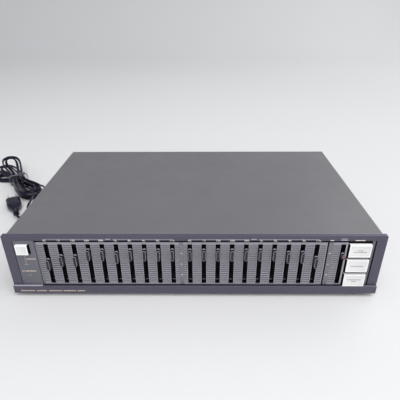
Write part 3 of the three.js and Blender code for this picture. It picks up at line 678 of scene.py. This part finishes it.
def buttons():
    for name in ("power", "tape_monitor", "equalizer", "recording"):
        push_button(name)
    button_labels()


# ---- prints on the panel

FREQUENCIES = ["32", "63", "125", "250", "500", "1k", "2k", "4k", "8k", "16k"]
LABEL_Z = PANEL_HI.z - 6.1 * MM


def number(text, size, x, y, z, bm):
    """Adds a printed number, centred on a point of a face that looks towards -Y."""
    curve = bpy.data.curves.new("number", "FONT")
    curve.body = text
    curve.size = size
    curve.align_x = "CENTER"
    curve.align_y = "CENTER"
    curve.extrude = 0.03 * MM
    curve.offset = 0.09 * MM
    obj = bpy.data.objects.new("number", curve)
    bpy.context.scene.collection.objects.link(obj)
    wider = Matrix.Diagonal((1.35, 1, 1, 1))
    obj.matrix_world = Matrix.Translation((x, y, z)) @ Matrix.Rotation(math.pi / 2, 4, "X") @ wider
    bpy.context.view_layer.update()
    mesh = bpy.data.meshes.new_from_object(obj.evaluated_get(bpy.context.evaluated_depsgraph_get()))
    mesh.transform(obj.matrix_world)
    bm.from_mesh(mesh)
    bpy.data.meshes.remove(mesh)
    bpy.data.objects.remove(obj)
    bpy.data.curves.remove(curve)


def band_prints(pale, cream):
    """The band numbers, and over each ten of them a bracket with a bar for its name."""
    bracket_z, line = PANEL_HI.z - 4.4 * MM, 0.5 * MM
    for i, x in enumerate(BAND_X):
        number(FREQUENCIES[i % 10], 2.7 * MM, x, FACE_Y, LABEL_Z, cream)
    for first, last in ((0, 9), (10, 19)):
        x0, x1 = BAND_X[first] - 1 * MM, BAND_X[last] + 1 * MM
        mid = (x0 + x1) / 2
        marks(pale, [(x0, mid - 5 * MM, bracket_z, line), (mid + 5 * MM, x1, bracket_z, line)], FACE_Y)
        marks(pale, [(mid - 3 * MM, mid + 3 * MM, bracket_z + 0.1 * MM, 1.1 * MM)], FACE_Y)


def level_prints(pale, cream):
    """Bars for the words over the level slider and the buttons, and the two scales' numbers."""
    marks(pale, [
        (LEVEL_X - 4.5 * MM, LEVEL_X + 3 * MM, LABEL_Z + 0.7 * MM, 1.0 * MM),
        (LEVEL_X - 4.0 * MM, LEVEL_X + 2.4 * MM, LABEL_Z + 2.4 * MM, 0.8 * MM),
    ], FACE_Y)
    first_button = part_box("tape_monitor_button")[0].x
    words = [(SCALE_X - 2 * MM, 4.0), (first_button + 5.5 * MM, 5.6), (first_button + 11.7 * MM, 4.4)]
    marks(cream, [(x, x + length * MM, LABEL_Z + 0.4 * MM, 1.2 * MM) for x, length in words], FACE_Y)
    for x in (GAP_X, SCALE_X):
        for text, dz in (("12", 15), ("0", 0), ("12", -15)):
            number(text, 2.0 * MM, x, GRILLE_Y, SLOT_MID_Z + dz * MM, cream)
    marks(pale, [(GAP_X - 0.8 * MM, GAP_X + 0.8 * MM, SLOT_MID_Z + 24 * MM, 0.8 * MM)], GRILLE_Y)


def power_prints(pale, gold):
    """The stem under the power button, and bars for the words beside it."""
    stem_x = middle("power_button").x + 0.4 * MM
    base = MIDDLE.z
    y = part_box("power_plate")[0].y
    marks(pale, [
        (stem_x - 0.25 * MM, stem_x + 0.25 * MM, base + 45.5 * MM, 12 * MM),
        (stem_x - 2.6 * MM, stem_x + 2.6 * MM, base + 39.4 * MM, 0.45 * MM),
        (stem_x - 0.6 * MM, stem_x + 2.8 * MM, base + 24.3 * MM, 0.6 * MM),
    ], y)
    for start, length, z in ((1.5, 10.5, 47.2), (-7, 3.6, 30.2), (-2.6, 12.1, 30.2)):
        bars = word(stem_x + start * MM, length, 1.2, 0.85)
        marks(gold, [(a, b, base + z * MM, 1.5 * MM) for a, b in bars], y)


def trim_prints(gold):
    """Bars for the line of words on the trim bar."""
    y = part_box("trim_bar")[0].y
    x = PANEL_LO.x + 8 * MM
    for length in (17, 12, 15, 14, 9):
        bars = word(x, length, 1.3, 0.9)
        marks(gold, [(a, b, MIDDLE.z + 3.6 * MM, 1.6 * MM) for a, b in bars], y)
        x += (length + 2.2) * MM


def panel_prints():
    pale, cream, gold = bmesh.new(), bmesh.new(), bmesh.new()
    band_prints(pale, cream)
    level_prints(pale, cream)
    power_prints(pale, gold)
    trim_prints(gold)
    piece("pale_prints", pale, ["pale_ink"])
    piece("cream_prints", cream, ["cream_ink"])
    piece("gold_prints", gold, ["gold_ink"])


# ---- front panel


def slot_lips():
    """The lower end of each potentiometer's frame, seen at the foot of its slot, its steel darkened as painted
    shade.
    """
    bm = bmesh.new()
    y, z = POT_LO.y, MIDDLE.z + 14.6 * MM
    for x in BAND_X:
        lip_lo = (x - 2.1 * MM, y - 0.25 * MM, z - 1.2 * MM)
        add_box(bm, lip_lo, (x + 2.1 * MM, y + 0.2 * MM, z + 1.2 * MM), 0.2 * MM)
    piece("potentiometer_lips", bm, ["shaded_steel"])


def side_strip_and_ledge_highlights():
    """A grey strip beside the function buttons, and a painted highlight along the trim bar's top edge at its
    two ends, paler at the left.
    """
    lo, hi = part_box("button_bezel")
    strip_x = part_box("equalizer_button")[1].x + 0.4 * MM
    strip_hi = (hi.x - 0.4 * MM, lo.y + 0.4 * MM, hi.z - 2.4 * MM)
    bm = bmesh.new()
    add_box(bm, (strip_x, FACE_Y + 0.1 * MM, lo.z + 1 * MM), strip_hi, 0.12 * MM)
    piece("bezel_side_strip", bm, ["bezel"])
    lo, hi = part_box("trim_bar")
    bm = bmesh.new()
    # painted highlight: pale paint at the left end, the smooth strip's paint at the right
    ends = ((lo.x + 1 * MM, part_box("power_plate")[1].x, 0), (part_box("level_grille")[1].x, hi.x - 1 * MM, 1))
    for x0, x1, index in ends:
        end_lo = (x0, lo.y + 0.2 * MM, hi.z - 0.3 * MM)
        add_box(bm, end_lo, (x1, lo.y + 2.4 * MM, hi.z + 0.25 * MM), 0.1 * MM, index)
    piece("trim_bar_ledge_highlight", bm, ["edge", "strip"])


def front():
    dress("front_panel", "panel", 0.35 * MM, 3)
    dress("trim_bar", "panel", 0.25 * MM, 2)
    dress("power_plate", "plate", 0.15 * MM)
    # the button bezel takes the near-black painted shade of the gaps round the buttons
    dress("button_bezel", "slot", 0.15 * MM)
    grilles()
    knobs()
    buttons()
    panel_prints()
    slot_lips()
    side_strip_and_ledge_highlights()
    # the potentiometers behind the slots take the near-black painted shade
    for node in ("left_slider_pots", "right_slider_pots", "level_slider_pot"):
        dress(node, "slot", 0.2 * MM)
    dress("slider_board", "board", 0.2 * MM)
    dress("function_switches", "black", 0.4 * MM)
    dress("power_switch", "black", 0.4 * MM)


# ---- case


def top_cover():
    """One painted sheet bent round the top and both sides, with a folded lip at the back."""
    lo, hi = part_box("top_cover")
    sheet = 1 * MM
    bend = 3 * MM
    arc = 8

    def section(inset):
        x0, x1, z1 = lo.x + inset, hi.x - inset, hi.z - inset
        r = bend - inset
        points = [(x1, lo.z)]
        for quarter, x in enumerate((x1 - r, x0 + r)):
            angles = [math.pi / 2 * (quarter + i / arc) for i in range(arc + 1)]
            points += [(x + r * math.cos(a), z1 - r + r * math.sin(a)) for a in angles]
        return [*points, (x0, lo.z)]

    outline = section(0) + list(reversed(section(sheet)))
    soft = 0.2 * MM
    bm = bmesh.new()
    stations = (lo.y, lo.y + soft, lo.y + 1.3 * MM, hi.y - soft, hi.y)
    # the front 1.3 mm of the sheet takes the paler paint, a painted highlight along the front edge
    loft(bm, [[Vector((x, y, z)) for x, z in outline] for y in stations], indices=[1, 1, 0, 0])
    lip_hi = (hi.x - bend, hi.y - 0.01 * MM, hi.z - 0.5 * MM)
    add_box(bm, (lo.x + bend, hi.y - sheet, hi.z - 11 * MM), lip_hi, 0.3 * MM)
    piece("bent_top_cover", bm, ["case", "hem_highlight"], stands_for=["top_cover"])


def screw(name, node, axis, sign):
    """A domed screw head with a tapered recess."""
    lo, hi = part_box(node)
    centre = middle(node)
    radius = (hi.z - lo.z) / 2
    base = {"x": lo.x if sign > 0 else hi.x, "y": lo.y}[axis]
    height = (hi.x - lo.x if axis == "x" else hi.y - lo.y) * sign
    origin = Vector((0, centre.y, centre.z)) if axis == "x" else Vector((centre.x, 0, centre.z))
    profile = [
        (radius, base), (radius, base + height * 0.3), (radius * 0.94, base + height * 0.55),
        (radius * 0.75, base + height * 0.85), (radius * 0.5, base + height * 0.98),
        (radius * 0.36, base + height), (radius * 0.22, base + height * 0.35),
    ]
    bm = bmesh.new()
    turned(bm, profile, origin, axis, 24)
    piece(name, bm, ["zinc"], stands_for=[node])


def screws():
    for place in ("front", "rear"):
        screw(f"{place}_left_side_screw", f"{place}_left_cover_screw", "x", -1)
        screw(f"{place}_right_side_screw", f"{place}_right_cover_screw", "x", 1)
    for side in ("left", "right"):
        screw(f"{side}_rear_screw", f"{side}_lip_screw", "y", 1)


def foot(name, node):
    """A rubber foot with a rounded rim and a screw sunk in its middle."""
    lo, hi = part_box(node)
    x, y, _ = middle(node)
    top, low = hi.z, lo.z
    r = (hi.x - lo.x) / 2
    rubber = [
        (r, top), (r, top - 1 * MM), (r - 0.9 * MM, low + 0.9 * MM), (r - 1.3 * MM, low + 0.25 * MM),
        (r - 2 * MM, low), (6.2 * MM, low), (5.4 * MM, low + 0.5 * MM), (5 * MM, low + 2.4 * MM),
    ]
    head = [
        (4 * MM, top - 2.2 * MM), (3.8 * MM, low + 1.6 * MM), (2.4 * MM, low + 1.1 * MM),
        (0.9 * MM, low + 1.9 * MM),
    ]
    bm = bmesh.new()
    turned(bm, rubber, (x, y, 0), "z", 40)
    piece(name, bm, ["rubber"], stands_for=[node])
    bm = bmesh.new()
    turned(bm, head, (x, y, 0), "z", 20)
    piece(f"{name}_screw", bm, ["zinc"])


def jacks(node, name):
    """Four phono jacks: a moulded block inside, and plated sleeves with white or red inserts outside."""
    lo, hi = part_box(node)
    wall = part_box("rear_panel")
    mid = middle(node)
    face, tip = wall[1].y, hi.y
    bm = bmesh.new()
    add_box(bm, lo, (hi.x, wall[0].y - 0.2 * MM, hi.z), 0.6 * MM)
    piece(f"{name}_block", bm, ["black"], stands_for=[node])
    for row, dz in (("upper", 10), ("lower", -10)):
        for column, dx in (("inner", -8), ("outer", 8)):
            centre = (mid.x + dx * MM, 0, mid.z + dz * MM)
            sleeve = [
                (5.6 * MM, wall[0].y), (5.6 * MM, face + 0.9 * MM), (5.2 * MM, face + 1.2 * MM),
                (4.2 * MM, face + 1.3 * MM), (4.2 * MM, tip - 0.4 * MM), (3.9 * MM, tip), (3.5 * MM, tip),
                (3.4 * MM, tip - 0.3 * MM), (3.4 * MM, face),
            ]
            insert = [
                (3.35 * MM, face), (3.35 * MM, tip - 1.2 * MM), (1.9 * MM, tip - 1.2 * MM),
                (1.6 * MM, tip - 3 * MM),
            ]
            bm = bmesh.new()
            turned(bm, sleeve, centre, "y", 28)
            piece(f"{name}_{row}_{column}_sleeve", bm, ["nickel"])
            bm = bmesh.new()
            turned(bm, insert, centre, "y", 24)
            colour = "white_insert" if row == "upper" else "red_insert"
            piece(f"{name}_{row}_{column}_insert", bm, [colour])


def rear_prints():
    """Plain frames and bars round the jacks, and a dark line under the cover's lip, painted shade in the seam.
    """
    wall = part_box("rear_panel")[1].y
    pale = bmesh.new()
    for node in ("line_jacks", "tape_jacks"):
        x, _, z = middle(node)
        wide, tall = 19 * MM, 21 * MM
        for side in (-1, 1):
            marks(pale, [(x - wide, x + wide, z + side * tall, 0.35 * MM)], wall)
            edge = x + side * wide
            marks(pale, [(edge - 0.18 * MM, edge + 0.18 * MM, z, 2 * tall)], wall)
            for row in (-1, 1):
                bars = word(x + (side * 8 - 4) * MM, 8, 1.6, 1.1)
                marks(pale, [(a, b, z + (row * 10 - 7.6) * MM, 1.2 * MM) for a, b in bars], wall)
        bars = word(x - 9 * MM, 19, 1.9, 1.4)
        marks(pale, [(a, b, z + tall + 2 * MM, 1.5 * MM) for a, b in bars], wall)
    piece("rear_prints", pale, ["pale_ink"])
    # painted shade: a near-black line under the cover's lip
    seam = bmesh.new()
    lip_bottom = CASE_HI.z - 11.4 * MM
    marks(seam, [(CASE_LO.x + 3 * MM, CASE_HI.x - 3 * MM, lip_bottom, 0.8 * MM)], wall)
    piece("rear_lip_shade_line", seam, ["slot"])


def case():
    top_cover()
    rear_prints()
    screws()
    for place in ("front_left", "front_right", "rear_left", "rear_right"):
        foot(f"{place}_rubber_foot", f"{place}_foot")
    jacks("line_jacks", "line")
    jacks("tape_jacks", "tape")
    dress("chassis", "zinc", 0.25 * MM)
    dress("power_transformer", "iron", 0.8 * MM)
    dress("rear_panel", "case", 0.2 * MM)
    dress("main_board", "board", 0.2 * MM)
    dress("regulator_heatsink", "aluminium", 0.2 * MM)
    dress("ribbon_cable", "ribbon", 0.2 * MM)


# ---- mains cord

# The hank's and the plug's own sizes are in millimetres, in the hank's own frame.
REST = -2.2
LAYER_HEIGHT = 5.6
TURNS = 6
TURN_SPACING = 5.8
BEND = 35
CLIMB = 0.15
# The hank's two ends: each layer's length and lean, the rise per layer, the lobes' width and their spread.
FAR_END = {"layers": ((58, -0.8), (67, -0.4), (76, -0.1)), "lift": 6, "lobe": 16, "spread": 0.0}
NEAR_END = {"layers": ((66, 0.42), (72, 0.36), (76, 0.30)), "lift": 2, "lobe": 19, "spread": 0.3}
TIE = middle("cord_tie")
HANK = Matrix.Translation((TIE.x, TIE.y, MIDDLE.z)) @ Matrix.Rotation(0.5, 4, "Z") @ Matrix.Scale(MM, 4)
PLUG_X, PLUG_FRONT, PLUG_Z = -18, -76, 1.7
PLUG_NECK = PLUG_FRONT - 54


def eased(value, low, high):
    t = min(1, max(0, (value - low) / (high - low)))
    return t * t * (3 - 2 * t)


def at_layer(lobes, layer):
    """A lobe's length and lean, for a layer that may be on its way from one whole number to the next."""
    below = min(int(layer), len(lobes) - 2)
    return [a + (b - a) * (layer - below) for a, b in zip(lobes[below], lobes[below + 1])]


def leaning(x, y, lean):
    """A place in a lobe that has turned by `lean`, for a point of the straight lobe."""
    heading = lean * min(y, BEND) / BEND
    radius = BEND / lean
    beyond = max(0, y - BEND)
    s, c = math.sin(heading), math.cos(heading)
    return radius * (1 - c) + beyond * s + x * c, radius * s + beyond * c - x * s


def hank_point(turn):
    """A point on the hank, whose length is Y. Turns spiral in, out and in again, layer on layer."""
    layer = eased(turn, 2 - CLIMB, 2 + CLIMB) + eased(turn, 4 - CLIMB, 4 + CLIMB)
    angle = math.pi * (1 + 2 * turn)
    far = math.cos(angle) > 0
    end = FAR_END if far else NEAR_END
    length, lean = at_layer(end["layers"], layer)

    def loop(a):
        return Vector((math.sin(a) * end["lobe"] * math.cos(a) ** 2, length * math.cos(a)))

    tangent = (loop(angle + 0.01) - loop(angle - 0.01)).normalized()
    towards_end = math.cos(angle) ** 2
    outward = TURN_SPACING * abs(turn % 4 - 2) * (1 + end["spread"] * towards_end)
    flat = loop(angle) + Vector((-tangent.y, tangent.x)) * outward
    x, reach = leaning(flat.x, abs(flat.y), lean)
    lift = layer * end["lift"] * towards_end
    over_tie = 1.8 * math.sin(angle) ** 4
    return Vector((x, reach if far else -reach, REST + layer * LAYER_HEIGHT + lift + over_tie))


def cord_points():
    """The way the cord runs: bushing, floor, hank, over its side, plug."""
    start = middle("cord_bushing")
    start.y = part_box("rear_panel")[1].y
    down = REST - 24  # from the bushing to where the cord rests on the floor
    from_case = [
        (0, -12, 0), (0, 16, 0), (-1, 28, -3), (-8, 44, -18),
        (-24, 52, down + 1.6), (-50, 51, down), (-72, 41, down),
    ]
    steps = 26
    turns = [hank_point(i / steps) for i in range(TURNS * steps + 1)]
    last = turns[-1]
    neck = Vector((PLUG_X, PLUG_NECK, PLUG_Z))
    to_plug = [last + Vector(p) for p in ((-5, -4, 5.6), (-6, -13, 6.5), (-3, -25, 3))]
    to_plug += [neck + Vector(p) for p in (
        (18, 1, 6), (18, -8, 3), (15.4, -14.4, 1), (9, -17, 0), (2.6, -14.4, 0),
        (0, -8, 0), (0, -3, 0), (0, 0, 0), (0, 22, 0),
    )]
    return [start + Vector(p) * MM for p in from_case] + [HANK @ p for p in turns + to_plug]


def twin_profile():
    """Two round cores side by side, joined by a web, as (side, up) pairs."""
    half_width, lobe, arc = 1.25 * MM, 1.35 * MM, 9
    points = []
    for sign in (1, -1):
        for i in range(arc + 1):
            a = -0.72 * math.pi + 1.44 * math.pi * i / arc
            u, v = lobe * math.sin(a), half_width + lobe * math.cos(a)
            points.append((sign * u, sign * v))
    return points


def cord():
    path = smooth_path(cord_points(), 3 * MM)
    bm = bmesh.new()
    waves = [(RNG.uniform(0.010, 0.035), RNG.uniform(0, 6.28), RNG.uniform(0.25, 0.5)) for _ in range(4)]

    def twist(k):
        return sum(amount * math.sin(rate * k + phase) for rate, phase, amount in waves)

    sweep(bm, path, twin_profile(), twist)
    piece("twin_mains_cord", bm, ["vinyl"], stands_for=["power_cord"], smooth_angle=60)


def tie():
    """A flat band round the hank's waist, with its twisted tail lying on top."""
    lo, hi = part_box("cord_tie")
    half, r = 16.2, 5
    low, high = (lo.z - MIDDLE.z) / MM, (hi.z - MIDDLE.z) / MM
    loop = []
    corners = ((half - r, high - r), (r - half, high - r), (r - half, low + r), (half - r, low + r))
    for quarter, (cx, cz) in enumerate(corners):
        for i in range(7):
            a = math.pi / 2 * (quarter + i / 6)
            loop.append((cx + r * math.cos(a), cz + r * math.sin(a), math.cos(a), math.sin(a)))
    band = [
        (-1.1, -2.4), (-1.1, 2.4), (-0.85, 2.5), (-0.4, 2.3), (-0.1, 1.4), (0, 0), (-0.1, -1.4),
        (-0.4, -2.3), (-0.85, -2.5),
    ]
    rings = [[HANK @ Vector((x + nx * d, w, z + nz * d)) for d, w in band] for x, z, nx, nz in loop]
    bm = bmesh.new()
    loft(bm, rings + rings[:1], cap_start=False, cap_end=False)
    thin = 0.75 * MM
    wire = [(thin * math.cos(k * math.pi / 4), thin * math.sin(k * math.pi / 4)) for k in range(8)]
    coil, above = 0.9, high + 0.8
    for start in (0, math.pi):
        tail = []
        for i in range(10):
            a = start + i * 0.9
            tail.append(HANK @ Vector((2 + i * 1.1, math.cos(a) * coil, above + math.sin(a) * coil)))
        sweep(bm, tail, wire)
    piece("twisted_cord_tie", bm, ["tie"], stands_for=["cord_tie"])


def plug():
    """A moulded plug: a slightly waisted body, a ringed strain relief, and two bright flat blades."""
    stations = [
        (-54, 4.2, 4.2), (-52, 4.4, 4.4), (-51.2, 3.6, 3.6), (-49.6, 3.6, 3.6), (-49, 4.4, 4.4),
        (-47.4, 4.5, 4.5), (-46.8, 3.8, 3.8), (-45.2, 3.8, 3.8), (-44.6, 4.6, 4.6), (-42.8, 4.7, 4.7),
        (-42.2, 4.1, 4.1), (-40.4, 4.1, 4.1), (-39.6, 4.8, 4.8), (-36, 6.0, 5.4), (-30, 9.2, 6.0),
        (-24, 11.2, 6.3), (-18, 11.3, 6.4), (-12, 11.0, 6.2), (-6, 11.3, 6.4), (-1.4, 11.4, 6.4),
        (-0.4, 11.1, 6.1), (0, 10.4, 5.4),
    ]
    bm = bmesh.new()
    rings = []
    for along, half_x, half_z in stations:
        boxy = 0.56 if along > -36 else 1.0
        ring = []
        for i in range(24):
            a = 2 * math.pi * i / 24
            u = math.copysign(abs(math.cos(a)) ** boxy, math.cos(a))
            v = math.copysign(abs(math.sin(a)) ** boxy, math.sin(a))
            ring.append(HANK @ Vector((PLUG_X + half_x * u, PLUG_FRONT + along, PLUG_Z + half_z * v)))
        rings.append(ring)
    loft(bm, rings)
    piece("moulded_plug", bm, ["vinyl"], stands_for=["power_plug"])
    bm = bmesh.new()
    outline = [(-3.1, -0.5), (3.1, -0.5), (3.1, 15.2), (2.2, 17), (-2.2, 17), (-3.1, 15.2)]
    for side in (-1, 1):
        bx = PLUG_X + side * 6.35
        loft(bm, [
            [HANK @ Vector((bx + dx, PLUG_FRONT + along, PLUG_Z + up)) for up, along in outline]
            for dx in (-0.75, 0.75)
        ])
    blades = piece("plug_blades", bm, ["brass"], smooth_angle=30)
    bevel(blades, 0.2 * MM)


def bushing():
    """The cord's bushing: a flange on the rear panel and a tapered, ringed tail."""
    lo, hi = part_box("cord_bushing")
    centre = middle("cord_bushing")
    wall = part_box("rear_panel")[1].y
    flange = wall + 3 * MM
    profile = [
        (6.4 * MM, lo.y), (6.4 * MM, wall + 0.2 * MM), (8.3 * MM, wall + 0.2 * MM),
        (8.5 * MM, wall + 0.6 * MM), (8.4 * MM, wall + 2.2 * MM), (7.9 * MM, wall + 2.7 * MM),
        (6.3 * MM, flange),
    ]
    steps = 4
    step = (hi.y - flange) / steps
    for n in range(steps):
        radius = (6.1 - 0.42 * n) * MM
        groove = radius - 1 * MM
        y = flange + step * n
        profile += [
            (radius, y + 0.2 * MM), (radius, y + step - 1.2 * MM),
            (groove, y + step - 1.0 * MM), (groove, y + step - 0.1 * MM),
        ]
    profile += [(4.4 * MM, hi.y - 0.3 * MM), (3.9 * MM, hi.y), (2.9 * MM, hi.y), (2.8 * MM, hi.y - 1 * MM)]
    bm = bmesh.new()
    turned(bm, profile, (centre.x, 0, centre.z), "y", 32)
    piece("ringed_cord_bushing", bm, ["black"], stands_for=["cord_bushing"])


def mains():
    cord()
    tie()
    plug()
    bushing()


# ---- stage, light and camera


def stage():
    """A pale sweep: a flat floor that curves up into a backdrop."""
    s = Shader("pale_sweep", (0.72, 0.725, 0.73), 0.75)
    s.vary_color(s.noise(0.6, 3), 0.01)
    s.bump(s.noise(2 * MM, 2), 0.02 * MM, 0.3)
    near, far, wide, radius, tall = -20.0, 1.6, 20.0, 1.2, 4.0
    arc = 24
    angles = [math.pi / 2 * i / arc for i in range(1, arc + 1)]
    line = [(near, 0.0), (far, 0.0)]
    line += [(far + radius * math.sin(a), radius - radius * math.cos(a)) for a in angles]
    line.append((far + radius, tall))
    bm = bmesh.new()
    rows = [[bm.verts.new((x, y, FLOOR_Z + z)) for x in (-wide, wide)] for y, z in line]
    for a, b in zip(rows, rows[1:]):
        bm.faces.new((a[0], a[1], b[1], b[0]))
    mesh = bpy.data.meshes.new("sweep")
    bm.to_mesh(mesh)
    bm.free()
    mesh.materials.append(s.material)
    mesh.shade_smooth()
    obj = bpy.data.objects.new("sweep", mesh)
    bpy.context.scene.collection.objects.link(obj)


def area_light(name, place, aim, size, power, color):
    light = bpy.data.lights.new(name, "AREA")
    light.shape = "RECTANGLE"
    light.size, light.size_y = size
    light.energy = power
    light.color = color
    obj = bpy.data.objects.new(name, light)
    obj.location = place
    obj.rotation_euler = (Vector(aim) - Vector(place)).to_track_quat("-Z", "Y").to_euler()
    bpy.context.scene.collection.objects.link(obj)


ROOM_LEFT, ROOM_RIGHT = 0.38, 0.62
ROOM_SEEN = 0.78


def room():
    """A soft world that is brighter on the right, and evenly pale where the camera looks past the sweep."""
    world = bpy.data.worlds.new("soft_room")
    world.use_nodes = True
    nodes, link = world.node_tree.nodes, world.node_tree.links.new
    background = nodes["Background"]
    split = nodes.new("ShaderNodeSeparateXYZ")
    strength = nodes.new("ShaderNodeMapRange")
    link(nodes.new("ShaderNodeTexCoord").outputs["Generated"], split.inputs[0])
    link(split.outputs["X"], strength.inputs["Value"])
    for key, value in (("From Min", -1), ("From Max", 1), ("To Min", ROOM_LEFT), ("To Max", ROOM_RIGHT)):
        strength.inputs[key].default_value = value
    seen = nodes.new("ShaderNodeMix")
    link(nodes.new("ShaderNodeLightPath").outputs["Is Camera Ray"], seen.inputs["Factor"])
    link(strength.outputs[0], seen.inputs["A"])
    seen.inputs["B"].default_value = ROOM_SEEN
    link(seen.outputs["Result"], background.inputs["Strength"])
    background.inputs["Color"].default_value = (0.95, 0.96, 1.0, 1)
    bpy.context.scene.world = world


def lights():
    """The room, a broad light overhead, and fills from behind and in front."""
    room()
    area_light("overhead", (0.4, -1.0, 2.0), (0.05, -0.1, 0), (2.2, 1.8), 40, (1, 0.99, 0.98))
    area_light("right_rear", (1.7, 1.5, 1.6), (0, 0.2, 0), (1.6, 1.4), 14, (1, 1, 1))
    area_light("front_fill", (-0.3, -2.2, 1.2), (0, -0.3, 0.0), (1.8, 1.2), 8, (0.97, 0.98, 1))


CAMERA_PLACE = spot(11.7, -487.0, 312.6)
CAMERA_YAW, CAMERA_PITCH, CAMERA_ROLL = -0.012, 0.489, -0.006
CAMERA_LENS = 35.1


def camera():
    yaw, pitch, roll = CAMERA_YAW, CAMERA_PITCH, CAMERA_ROLL
    forward = Vector((math.sin(yaw) * math.cos(pitch), math.cos(yaw) * math.cos(pitch), -math.sin(pitch)))
    right = Vector((math.cos(yaw), -math.sin(yaw), 0))
    up = right.cross(forward)
    across = right * math.cos(roll) + up * math.sin(roll)
    above = up * math.cos(roll) - right * math.sin(roll)
    data = bpy.data.cameras.new("camera")
    data.lens = CAMERA_LENS
    data.sensor_width = 36
    data.clip_start = 0.01
    obj = bpy.data.objects.new("camera", data)
    rotation = Matrix((across, above, -forward)).transposed()
    obj.matrix_world = Matrix.Translation(CAMERA_PLACE) @ rotation.to_4x4()
    bpy.context.scene.collection.objects.link(obj)
    bpy.context.scene.camera = obj


# ---- everything

front()
case()
mains()
stage()
lights()
camera()
bpy.context.scene.view_settings.view_transform = "Standard"
